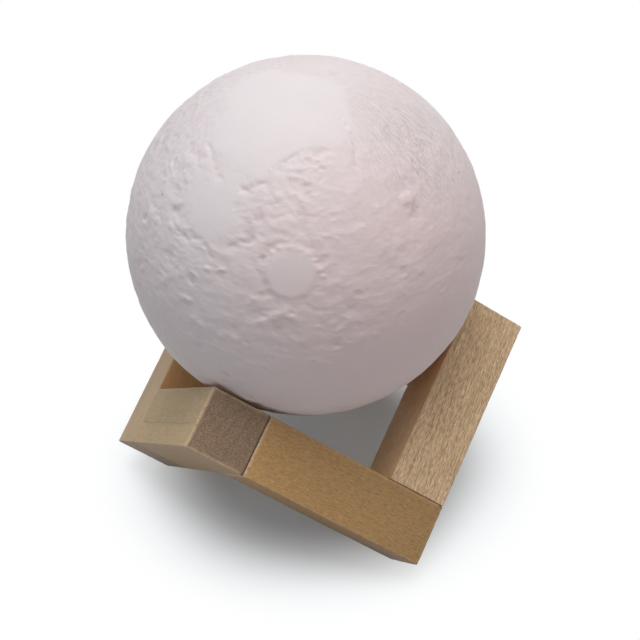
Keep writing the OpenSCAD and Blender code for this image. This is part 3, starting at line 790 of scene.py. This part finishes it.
def bored_bar(stand):
    """Mesh of one bar with its two blind dowel bores."""
    w, l = stand.bar_width, stand.bar_length
    points, faces = eased_box((l, w, w), stand.easing, BAR_CELLS)
    mesh = bpy.data.meshes.new("bar_blank")
    mesh.from_pydata([tuple(p) for p in points], [], faces)
    blank = add_object("bar_blank", mesh)
    end_bore = Matrix.Translation((0, w / 2, w / 2)) @ Matrix.Rotation(math.pi / 2, 4, "Y")
    side_bore = Matrix.Translation((l - w / 2, 0, w / 2)) @ Matrix.Rotation(math.pi / 2, 4, "X")
    cutters = [bore_cutter(stand.dowel / 2, stand.dowel_depth, m) for m in (end_bore, side_bore)]
    for cutter in cutters:
        cut = blank.modifiers.new("bore", "BOOLEAN")
        cut.operation, cut.solver, cut.object = "DIFFERENCE", "EXACT", cutter
    bpy.context.view_layer.update()
    depsgraph = bpy.context.evaluated_depsgraph_get()
    bored = bpy.data.meshes.new_from_object(blank.evaluated_get(depsgraph))
    for obj in [blank, *cutters]:
        bpy.data.objects.remove(obj)
    return bored


# Kind of wood, climbing or falling, and turn round the ball's axis, for each bar
BARS = {
    "left_front_bar": ("olive_beech", True, 0),
    "front_bar": ("heartwood", False, 0),
    "right_front_bar": ("rippled", True, 120),
    "right_back_bar": ("heartwood", False, 120),
    "back_bar": ("olive_beech", True, 240),
    "left_back_bar": ("sapwood", False, 240),
}
# How each bar's figure differs from plain beech
FIGURES = {
    "left_front_bar": dict(
        fleck=0.1, ripple=0.06, rings=0.08, fibres=0.3, clouds=0.12, grain_line=14.2 * MM
    ),
    "front_bar": dict(
        fleck=0.25, ripple=0.12, rings=0.08, fibres=0.62, clouds=0.1, painted_butt_light=0.18, run=560
    ),
    "right_front_bar": dict(
        fleck=0.0, ripple=0.62, rings=0.12, fibres=0.62, clouds=0.14, slant=-4, painted_butt_light=0.02,
        run=110, crimp=2.1, lights=(1.5, 1.54, 1.68),
    ),
    "right_back_bar": dict(fleck=0.5, ripple=0.2, rings=0.25),
    "back_bar": dict(fleck=0.3, ripple=0.3, rings=0.3),
    "left_back_bar": dict(fleck=0.1, ripple=0.12, rings=0.15, fibres=0.25),
}


def beech(
    name, colour, end_colour, seed, fleck=0.5, ripple=0.2, rings=0.2, fibres=0.35, clouds=0.3,
    slant=0, grain_line=0, inner_side=-1, painted_butt_light=0.0, run=300, crimp=1.0, lights=(1.5, 1.5, 1.52),
):
    """Beech, sawn, sanded and rubbed with a thin matt oil.

    Sawing shows straight fibres along the bar, faint growth rings and short dark ray flecks.
    Sanding dulls it, so the gloss is low and broken by the pores. Cut ends are darker, because
    their open pores drink the oil. Handling has worn the edges pale.

    fleck, ripple, rings, fibres and clouds say how much of each shows. slant turns the grain, in
    degrees. grain_line is the height of a latewood line. The butt-end factor is painted light: the
    butt end is painted that much paler and the free end that much darker, against shade that
    falls unevenly along the bar. run sets how short the fibres are, crimp how fine the ripple is,
    and lights how pale the palest wood is. inner_side is 1 where the bar's +Z side faces the ball,
    and -1 where -Z does.
    """
    material, nodes, shader = new_material(name, IOR=1.5)
    on_bar = nodes.coords()
    place = nodes.vector("ADD", on_bar, (0.31 * seed, 0.17 * seed, 0.23 * seed))
    if slant:
        turned = {"Vector": place, "Rotation": (0, math.radians(slant), 0)}
        place = nodes.add("ShaderNodeMapping", turned).outputs[0]

    # Growth rings about 3.2 mm apart round a pith that lies beside the bar, wavering along it
    waver = nodes.noise(place, (25, 60, 60), 3.0, output="Color")
    centred = nodes.vector("ADD", on_bar, (0, 45 * MM, -30 * MM))
    bent = nodes.vector("MULTIPLY_ADD", waver, (0, 11 * MM, 11 * MM), centred)
    reach = nodes.vector("LENGTH", nodes.vector("MULTIPLY", bent, (0, 1, 1)))
    ring = nodes.math("FRACT", nodes.math("MULTIPLY", reach, 1 / (3.2 * MM)))
    stops = ((0.0, 0.3), (0.15, 0.7), (0.75, 0.5), (0.93, 0.2), (1.0, 0.3))
    ring = nodes.ramp(ring, [(at, grey(value)) for at, value in stops], "EASE")

    # Fibres about 0.35 mm wide and a few mm long
    fibre = nodes.noise(place, (run, 2400, 2400), 5.0, 0.66)
    # Ripple: short wavy streaks about 0.7 mm apart and 4 mm long, or finer with a crimp above 1
    bend = nodes.noise(place, (260, 260, 260), output="Color")
    bent = nodes.vector("MULTIPLY_ADD", bend, (1.0 * MM, 1.1 * MM, 1.1 * MM), place)
    wave = nodes.noise(bent, (230 * crimp, 2100 * crimp, 2100 * crimp), 1.0, 0.4)
    # Broad cloudy tone, about 15 mm across and longer along the bar
    cloud = nodes.noise(place, (30, 75, 75), 3.0)
    # Ray flecks 0.3 mm wide and 2 mm long
    away, lot = nodes.cells(place, (420, 2300, 2300))
    chosen = nodes.math("GREATER_THAN", lot, 1 - fleck * 0.5)
    flecks = nodes.math("MULTIPLY", nodes.remap(away, 0.16, 0.34, 1.0, 0.0), chosen)

    # All of it together as one darkness, from 0 to about 1
    terms = [
        (nodes.remap(fibre, 0.3, 0.7), fibres),
        (nodes.remap(wave, 0.34, 0.66), ripple),
        (nodes.remap(cloud, 0.3, 0.7), clouds),
        (flecks, 0.3),
        (ring, -rings),
    ]
    along = nodes.parts(on_bar)
    if grain_line:
        # One dark latewood line on the outer face, which wavers by 0.5 mm and comes and goes
        bow = nodes.noise(place, (60, 0, 0), 0.0)
        level = nodes.math("MULTIPLY_ADD", bow, 1.8 * MM, along["Z"])
        above = nodes.math("SUBTRACT", level, grain_line)
        line = nodes.remap(nodes.math("ABSOLUTE", above), 0.0, 0.4 * MM, 1.0, 0.0)
        terms += [(line, 0.26), (nodes.remap(above, 0.0, 1.5 * MM), -0.1)]
    total = 0.0
    for socket, weight in terms:
        total = nodes.math("MULTIPLY_ADD", socket, weight, total)
    middle = 0.5 * (fibres + ripple + clouds - rings)
    spread = nodes.remap(total, middle - 0.5, middle + 0.5)
    base = np.array(colour[:3])
    tones = ((0.0, lights), (0.5, (1, 1, 1)), (1.0, (0.5, 0.45, 0.4)))
    grain = nodes.ramp(spread, [(at, opaque(base * share)) for at, share in tones])

    # Cut ends: round pores 0.25 mm wide (real ones 0.07 mm, drawn wider to show) and faint rings
    pores = nodes.noise(place, (400, 2500, 2500), 4.0, 0.7)
    pores = nodes.math("MULTIPLY_ADD", ring, -0.07, pores)
    end_base = np.array(end_colour[:3])
    tones = ((0.25, 1.7), (0.46, 1.0), (0.7, (0.4, 0.38, 0.36)))
    end_grain = nodes.ramp(pores, [(at, opaque(end_base * share)) for at, share in tones])

    def faces(amount):
        return nodes.remap(amount, 0.45, 0.85)

    facing = nodes.parts(nodes.coords("Normal"))
    # Painted bounce light: inner faces lie in shade and are painted redder and calmer, as light
    # thrown back between the bars colours them, most towards the free end
    faces_ball = nodes.math("MULTIPLY", facing["Z"], float(inner_side))
    faces_next = nodes.math("MULTIPLY", facing["Y"], -1.0)
    is_inner = faces(nodes.math("MAXIMUM", faces_ball, faces_next))
    towards_end = nodes.remap(along["X"], 18 * MM, 50 * MM)
    tint = nodes.mix(towards_end, (1.2, 1.13, 1.0, 1), (1.3, 0.98, 0.74, 1))
    calm = nodes.mix(0.55, grain, opaque(base))
    side = nodes.mix(is_inner, grain, nodes.vector("MULTIPLY", calm, tint))
    # Painted shade: lower outer faces, which face the floor, are painted darker
    shaded_below = faces(facing["Y"] if inner_side > 0 else facing["Z"])
    side = nodes.mix(shaded_below, side, nodes.vector("MULTIPLY", side, (0.67, 0.61, 0.54)))
    # Painted light: the butt end is painted paler and the free end darker, against shade that falls
    # unevenly along the bar
    if painted_butt_light:
        side = nodes.scaled(side, nodes.remap(along["X"], 0.0, 68 * MM, 1 + painted_butt_light, 1 - painted_butt_light))
    is_end = faces(nodes.math("ABSOLUTE", facing["X"]))
    surface = nodes.mix(is_end, side, end_grain)
    # Joints: the squeezed-out glue line has held dust and is dark
    surface = nodes.mix(nodes.attribute("seam"), surface, hex_colour("#3E2F22"))
    # Worn edges: paler wood where hands and packing have rubbed
    scuff = nodes.noise(place, (500, 500, 500), 3.0)
    worn = nodes.math("MULTIPLY", nodes.attribute("wear"), nodes.remap(scuff, 0.25, 0.5))
    surface = nodes.mix(nodes.math("MULTIPLY", worn, 0.75), surface, hex_colour("#D6BE9B"))

    height = nodes.math("MULTIPLY_ADD", flecks, -0.35, fibre)
    height = nodes.math("MULTIPLY_ADD", wave, -4.5 * ripple, height)
    nodes.feed(shader, {
        "Base Color": surface,
        "Roughness": nodes.remap(fibre, to_low=0.5, to_high=0.68),
        "Normal": nodes.bump(height, 0.8, 0.08 * MM),
    })
    return material


# Depth of the hollow that sanding leaves in a face, and share of an eased edge that rubbing takes
HOLLOW_DEPTH = 0.04 * MM
RUBBED_SHARE = 0.22


class MOONLAMP_OT_bars(bpy.types.Operator):
    """Builds the six bars of the stand with their bores, eased edges and sanding waves"""

    bl_idname = "moon_lamp.bars"
    bl_label = "Bars"

    def execute(self, context):
        stand = settings()[1]
        easing, size = stand.easing, np.array((stand.bar_length, stand.bar_width, stand.bar_width))
        blank = bored_bar(stand)
        start = np.zeros(len(blank.vertices) * 3)
        blank.vertices.foreach_get("co", start)
        start = start.reshape(-1, 3)
        gap = np.minimum(start, size - start)
        on_face = gap < easing * 1.01
        inward = np.sign(size / 2 - start)
        # Points inside the bores are neither on an outer face nor on an edge
        outer = (gap.min(axis=1) < 1e-6) | (on_face.sum(axis=1) > 1)
        edge = (on_face.sum(axis=1) > 1) & outer
        from_edge = np.sort(gap, axis=1)[:, 1]

        def edge_line(reach):
            return np.where(outer, 1 - smoothstep(0.3 * easing, reach * easing, from_edge), 0)

        # Edges round the free end wear the most; where the next bar meets one, a joint is dark
        free_end = (size[0] - start[:, 0]) < 2.2 * easing
        butt_end = start[:, 0] < 2.2 * easing
        at_joint = free_end & (start[:, 1] < 1.3 * easing)
        seam = edge_line(1.2) * at_joint
        edges = edge_line(2.2)
        wear = edges * np.where(free_end, 0.8, 0.25) * (1 - at_joint)
        for number, (name, (kind, rising, turn)) in enumerate(BARS.items()):
            rubbed = np.where(butt_end, edges * (1.0 if name == "front_bar" else 0.15), wear)
            if name != "left_front_bar":
                rubbed = np.where(free_end, 0.3 * rubbed, rubbed)
            # Sanding leaves each face a little hollow, and rubs the edges unevenly
            waves, rub = [], []
            for p in start:
                waves.append(noise.noise(Vector((p[0] * 60, p[1] * 140, p[2] * 140 + 9 * number))))
            hollow = (0.5 + 0.5 * np.array(waves)) * HOLLOW_DEPTH * outer
            points = start + inward * (gap < 1e-6) * hollow[:, None]
            for p in points:
                rub.append(noise.noise(Vector(p) * 420 + Vector((5 * number, 0, 0))))
            rub = np.clip(rub, 0, 1) * edge * RUBBED_SHARE * easing
            points += np.sign(size / 2 - points) * on_face * rub[:, None]
            # The feet stand flat on the floor
            matrix = bar_matrix(stand, rising, turn)
            back = matrix.inverted()
            world = np.array(matrix.to_3x3()) @ points.T + np.array(matrix.translation)[:, None]
            world[2] = np.maximum(world[2], 0)
            points = (np.array(back.to_3x3()) @ world + np.array(back.translation)[:, None]).T
            mesh = blank.copy()
            mesh.vertices.foreach_set("co", points.ravel())
            mesh.materials.clear()
            mesh.materials.append(beech(
                f"Beech {name.replace('_', ' ')}", getattr(stand, kind), stand.end_grain,
                number + 1, inner_side=-1 if rising else 1, **FIGURES[name],
            ))
            mesh.shade_smooth()
            mesh.set_sharp_from_angle(angle=math.radians(40))
            joint = seam * (1.0 if name in ("left_front_bar", "front_bar") else 0.4)
            set_fields(mesh, {"wear": rubbed, "seam": joint})
            mesh.update()
            obj = add_object(f"beech_{name}", mesh)
            obj.matrix_world = matrix
            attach(obj, "stand")
            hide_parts(name)
        rod = hex_colour("#CDB48F"), hex_colour("#B79A72")
        dress(beech("Beech dowel rod", *rod, 9, fleck=0.3, ripple=0.1, rings=0.2), "stand_dowels")
        return {"FINISHED"}


# ---------------------------------------------------------------- plug, electronics and light


def plain_finish(name, first, second, patch_mm, gloss, tooth=(0.3, 0.01), **whole):
    """A surface with soft tone patches and a fine tooth.

    gloss gives its least and greatest roughness, and tooth the tooth's width and depth in mm.
    """
    material, nodes, shader = new_material(name, **whole)
    place = nodes.coords()
    patches = nodes.noise(place, 1 / (patch_mm * MM), 3.0)
    grain = nodes.noise(place, 1 / (tooth[0] * MM), 2.0, 0.6)
    nodes.feed(shader, {
        "Base Color": nodes.ramp(patches, [(0.3, hex_colour(first)), (0.7, hex_colour(second))]),
        "Roughness": nodes.remap(patches, to_low=gloss[0], to_high=gloss[1]),
        "Normal": nodes.bump(grain, 1.0, tooth[1] * MM),
    })
    return material


class MOONLAMP_OT_plug(bpy.types.Operator):
    """Finishes the base plug, its button with the switch, the socket and the charging light"""

    bl_idname = "moon_lamp.plug"
    bl_label = "Base plug"

    def execute(self, context):
        # ABS, moulded in a spark-eroded mould: an even, satin tooth of about 0.2 mm
        dress(plain_finish(
            "ABS moulded white", "#E9E6E1", "#E3DFD9", 18, (0.42, 0.5), (0.22, 0.012), IOR=1.54,
        ), "base_cup")
        # The same plastic in grey, polished on the button's crown by fingers
        dress(plain_finish(
            "ABS moulded pale grey", "#CFCDCB", "#C6C4C1", 6, (0.3, 0.42), (0.18, 0.006), IOR=1.54,
        ), "power_button")
        # Glass-filled nylon, moulded: dark and dull, with a faint cloud of fibres
        dress(plain_finish(
            "Nylon moulded black", "#2A2A2C", "#333335", 1.5, (0.48, 0.62), (0.15, 0.01), IOR=1.53,
        ), "switch_plunger", "switch_body")
        # Steel strip, drawn and nickel plated: bright with soft drawing marks
        dress(plain_finish(
            "Steel nickel plated", "#B9B7B3", "#A9A8A6", 2, (0.2, 0.34), (0.4, 0.004), Metallic=1.0,
        ), "charge_socket")
        # Acrylic, moulded clear: glass-like, with a frosted end
        dress(plain_finish(
            "Acrylic moulded clear", "#F4F7F8", "#EEF3F5", 3, (0.06, 0.14), (0.5, 0.002), IOR=1.49,
            Transmission_Weight=0.92,
        ), "light_pipe")
        # Epoxy over a chip, cast water-clear with a warm body below
        dress(plain_finish(
            "Epoxy cast over a chip", "#E8DFA9", "#D9CC8C", 0.5, (0.12, 0.25), IOR=1.52,
            Coat_Weight=0.4,
        ), "charge_led")
        return {"FINISHED"}


def circuit_mask(name, mask, trace, pitch_mm):
    """A board under solder mask: a gloss coat that shows the weave and the copper below."""
    material, nodes, shader = new_material(name, IOR=1.52, Coat_Weight=0.35, Coat_Roughness=0.12)
    place = nodes.coords()
    copper = hex_colour(trace)
    tracks = nodes.add("ShaderNodeTexBrick", {
        "Vector": place, "Scale": 1 / (pitch_mm * MM) / 2, "Mortar Size": 0.06, "Bias": -0.4,
        "Brick Width": 1.6, "Row Height": 0.5, "Color1": hex_colour(mask), "Color2": copper,
        "Mortar": copper,
    })
    weave = nodes.noise(place, 1 / (0.4 * MM), 1.0)
    nodes.feed(shader, {
        "Base Color": tracks.outputs["Color"],
        "Roughness": nodes.remap(weave, to_low=0.28, to_high=0.42),
        "Normal": nodes.bump(tracks.outputs["Fac"], 0.6, 0.03 * MM),
    })
    return material


class MOONLAMP_OT_electronics(bpy.types.Operator):
    """Finishes the control board, its chips, the screws and the leads"""

    bl_idname = "moon_lamp.electronics"
    bl_label = "Electronics"

    def execute(self, context):
        # Glass-epoxy laminate, etched and coated green: the copper shows as paler green tracks
        green = circuit_mask("Glass epoxy board green mask", "#1F5A34", "#2E6E40", 1.27)
        dress(green, "control_board")
        # Epoxy, moulded round the chips: matt charcoal with mineral grains
        dress(plain_finish(
            "Epoxy moulded chip", "#262628", "#303032", 0.8, (0.5, 0.66), IOR=1.55,
        ), "control_chips")
        # Steel screws, zinc plated: pale grey-blue metal, slightly cloudy
        dress(plain_finish(
            "Steel zinc plated", "#C2C4C6", "#AEB1B5", 1.2, (0.26, 0.42), (0.3, 0.004),
            Metallic=1.0,
        ), "board_screws", "carrier_screws")
        # Silicone, extruded over the leads: soft satin colour with slight waviness
        for node, colour, first, second in (
            ("battery_leads", "red", "#A8201C", "#961A18"),
            ("led_leads", "yellow", "#D9B62A", "#CDA922"),
        ):
            name = f"Silicone extruded {colour}"
            dress(plain_finish(name, first, second, 3, (0.38, 0.5), IOR=1.43), node)
        return {"FINISHED"}


class MOONLAMP_OT_battery(bpy.types.Operator):
    """Finishes the battery cell and builds the squeezed foam pad below it"""

    bl_idname = "moon_lamp.battery"
    bl_label = "Battery"

    def execute(self, context):
        # Aluminium-polymer pouch, pressed: satin silver that creases lightly over the stack
        dress(plain_finish(
            "Pouch foil pressed", "#BFC1C4", "#B2B4B8", 4, (0.28, 0.46), (2.2, 0.05), Metallic=0.85,
        ), "battery_cell")
        low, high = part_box("battery_pad")
        size = high - low
        points, faces = eased_box(tuple(size), size.z * 0.42, (26, 20, 3))
        centre = np.array(size) / 2
        out = points - centre
        # The load squeezes the foam, so its sides swell at mid height by 0.15 mm inside its box
        swell = 1 - (out[:, 2] / centre[2]) ** 2
        shrink = 1 - 0.15 * MM / centre[0] * (1 - swell)
        points[:, :2] = centre[:2] + out[:, :2] * shrink[:, None]
        # Polyurethane foam, cut from a sheet: dull and open-celled
        foam = plain_finish(
            "Foam polyurethane cut", "#3A3A3C", "#46464A", 1.0, (0.85, 0.95), (0.35, 0.08), IOR=1.5,
        )
        pad = mesh_object("foam_pad", points + np.array(low), faces, foam)
        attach(pad, "moon")
        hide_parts("battery_pad")
        return {"FINISHED"}


class MOONLAMP_OT_light(bpy.types.Operator):
    """Finishes the light post, its board with the lights and the frosted dome"""

    bl_idname = "moon_lamp.light"
    bl_label = "Light"

    def execute(self, context):
        # ABS in bright white, moulded, so that the post throws the light back
        dress(plain_finish(
            "ABS moulded bright white", "#F1F0EC", "#EBEAE6", 14, (0.4, 0.5), (0.22, 0.01),
            IOR=1.54,
        ), "led_carrier")
        # Aluminium sheet under a white mask, which spreads the lights' heat
        white = circuit_mask("Aluminium board white mask", "#ECEDEB", "#E0E2E1", 2.0)
        dress(white, "led_board")
        # Silicone with phosphor, dispensed over the chips: warm ones deep yellow, cold ones lemon
        for node, kind, first, second in (
            ("warm_leds", "warm", "#E9B949", "#E0A93A"),
            ("white_leds", "lemon", "#EDE08A", "#E6D778"),
        ):
            name = f"Phosphor silicone {kind}"
            dress(plain_finish(name, first, second, 0.8, (0.2, 0.34), IOR=1.41), node)
        # Acrylic with a diffusing filler, moulded: milky and satin
        dress(plain_finish(
            "Acrylic moulded milky", "#F3F3F0", "#EDEEEC", 8, (0.35, 0.48), (0.2, 0.01), IOR=1.49,
            Transmission_Weight=0.35,
        ), "diffuser_dome")
        return {"FINISHED"}


# ---------------------------------------------------------------- the stage

# Half the floor's side in metres, and how many cells it has along a side
FLOOR_REACH = 3.0
FLOOR_CELLS = 12
# The floor lies this far below the feet, so that the two don't share a plane
FLOOR_DROP = 0.02 * MM


def floor_paper(stage):
    """White paper sweep, matt: it keeps the soft shadow and is plain white away from the lamp."""
    material = bpy.data.materials.new("Paper sweep white")
    nodes = Nodes(material)
    place = nodes.coords()
    # In the picture the paper is a cold white; the light that it throws back is plain grey
    camera_ray = nodes.add("ShaderNodeLightPath").outputs["Is Camera Ray"]
    tone = nodes.mix(camera_ray, hex_colour("#B6B6B6"), hex_colour("#E9F7FF"))
    tooth = nodes.bump(nodes.noise(place, 900.0), 0.2, 0.03 * MM)
    inputs = {"Color": tone, "Roughness": 0.3, "Normal": tooth}
    paper = nodes.add("ShaderNodeBsdfDiffuse", inputs).outputs[0]
    white = nodes.add("ShaderNodeEmission", {"Color": opaque((1, 1, 1)), "Strength": 1.0})
    reach = nodes.vector("DISTANCE", place, (1 * MM, 6 * MM, 0))
    clear = stage.floor_clear
    fade = nodes.remap(reach, clear * 0.41, clear, 0.07, interpolation_type="SMOOTHSTEP")
    share = nodes.math("MULTIPLY", fade, nodes.seen())
    mixed = nodes.add("ShaderNodeMixShader", {0: share, 1: paper, 2: white.outputs[0]})
    nodes.add("ShaderNodeOutputMaterial", {"Surface": mixed.outputs[0]})
    return material


def pale_room(stage):
    """Light from all round: a little warm from the right and a little cool from the left."""
    world = bpy.data.worlds.new("Pale room")
    nodes = Nodes(world)
    side = nodes.remap(nodes.parts(nodes.coords("Generated"))["X"], -1.0, 1.0)
    stops = ((0.0, "#BEC4D4"), (0.5, "#FFFDFC"), (1.0, "#FFDFD2"))
    tint = nodes.ramp(side, [(at, hex_colour(code)) for at, code in stops])
    room = nodes.add("ShaderNodeBackground", {"Color": tint, "Strength": stage.sky})
    white = nodes.add("ShaderNodeBackground", {"Color": opaque((1, 1, 1)), "Strength": 1.0})
    inputs = {0: nodes.seen(), 1: room.outputs[0], 2: white.outputs[0]}
    mixed = nodes.add("ShaderNodeMixShader", inputs)
    nodes.add("ShaderNodeOutputWorld", {"Surface": mixed.outputs[0]})
    return world


def camera_view(stage):
    """Place and turn of the camera, which looks along its own -Z."""
    turn, tilt = stage.camera_turn, stage.camera_tilt
    level = math.cos(tilt)
    forward = Vector((-level * math.sin(turn), level * math.cos(turn), -math.sin(tilt)))
    right = Matrix.Rotation(stage.camera_roll, 3, forward) @ forward.cross(UP).normalized()
    view = Matrix((right, right.cross(forward), -forward)).transposed().to_4x4()
    view.translation = stage.camera_place
    return view


class MOONLAMP_OT_stage(bpy.types.Operator):
    """Sets the floor, the soft light all round, the wide overhead light and the camera"""

    bl_idname = "moon_lamp.stage"
    bl_label = "Stage"

    def execute(self, context):
        stage = settings()[2]
        scene = context.scene
        scene.view_settings.view_transform = "Standard"

        steps = np.linspace(-FLOOR_REACH, FLOOR_REACH, FLOOR_CELLS + 1)
        points = [(x, y, -FLOOR_DROP) for y in steps for x in steps]
        across = FLOOR_CELLS + 1
        corners = [r * across + c for r in range(FLOOR_CELLS) for c in range(FLOOR_CELLS)]
        faces = [(c, c + 1, c + across + 1, c + across) for c in corners]
        mesh_object("paper_floor", points, faces, floor_paper(stage), smooth=False)
        scene.world = pale_room(stage)

        # A very wide light, nearly overhead: it comes a little from the front and the right
        lamp = bpy.data.lights.new("Overhead light", "SUN")
        lamp.energy, lamp.angle, lamp.color = stage.sun, math.radians(45), (1.0, 0.99, 0.98)
        sun = add_object("Overhead light", lamp)
        sun.rotation_euler = (math.radians(2), math.radians(0.5), 0)

        camera = add_object("Camera", bpy.data.cameras.new("Camera"))
        camera.data.lens, camera.data.sensor_width = stage.lens, 36.0
        camera.data.clip_start, camera.data.clip_end = 0.01, 20.0
        camera.matrix_world = camera_view(stage)
        scene.camera = camera
        return {"FINISHED"}


class MOONLAMP_PT_panel(bpy.types.Panel):
    """Lists the lamp's builders and their settings"""

    bl_label = "Moon lamp"
    bl_idname = "MOONLAMP_PT_panel"
    bl_space_type = "VIEW_3D"
    bl_region_type = "UI"
    bl_category = "Moon lamp"

    def draw(self, context):
        for operator in OPERATORS:
            self.layout.operator(operator.bl_idname)
        for group in settings():
            box = self.layout.box()
            for name in group.__annotations__:
                box.prop(group, name)


GROUPS = {
    "moon_lamp_moon": MoonSettings,
    "moon_lamp_stand": StandSettings,
    "moon_lamp_stage": StageSettings,
}
OPERATORS = [
    MOONLAMP_OT_stage,
    MOONLAMP_OT_ball,
    MOONLAMP_OT_bars,
    MOONLAMP_OT_plug,
    MOONLAMP_OT_electronics,
    MOONLAMP_OT_battery,
    MOONLAMP_OT_light,
]


def register():
    for cls in [*GROUPS.values(), *OPERATORS, MOONLAMP_PT_panel]:
        bpy.utils.register_class(cls)
    for name, cls in GROUPS.items():
        setattr(bpy.types.Scene, name, PointerProperty(type=cls))


def unregister():
    for name in GROUPS:
        delattr(bpy.types.Scene, name)
    for cls in reversed([*GROUPS.values(), *OPERATORS, MOONLAMP_PT_panel]):
        bpy.utils.unregister_class(cls)


def main():
    register()
    for operator in OPERATORS:
        group, name = operator.bl_idname.split(".")
        result = getattr(getattr(bpy.ops, group), name)()
        if result != {"FINISHED"}:
            raise RuntimeError(f"{operator.bl_idname} did not finish")


if __name__ == "__main__":
    main()
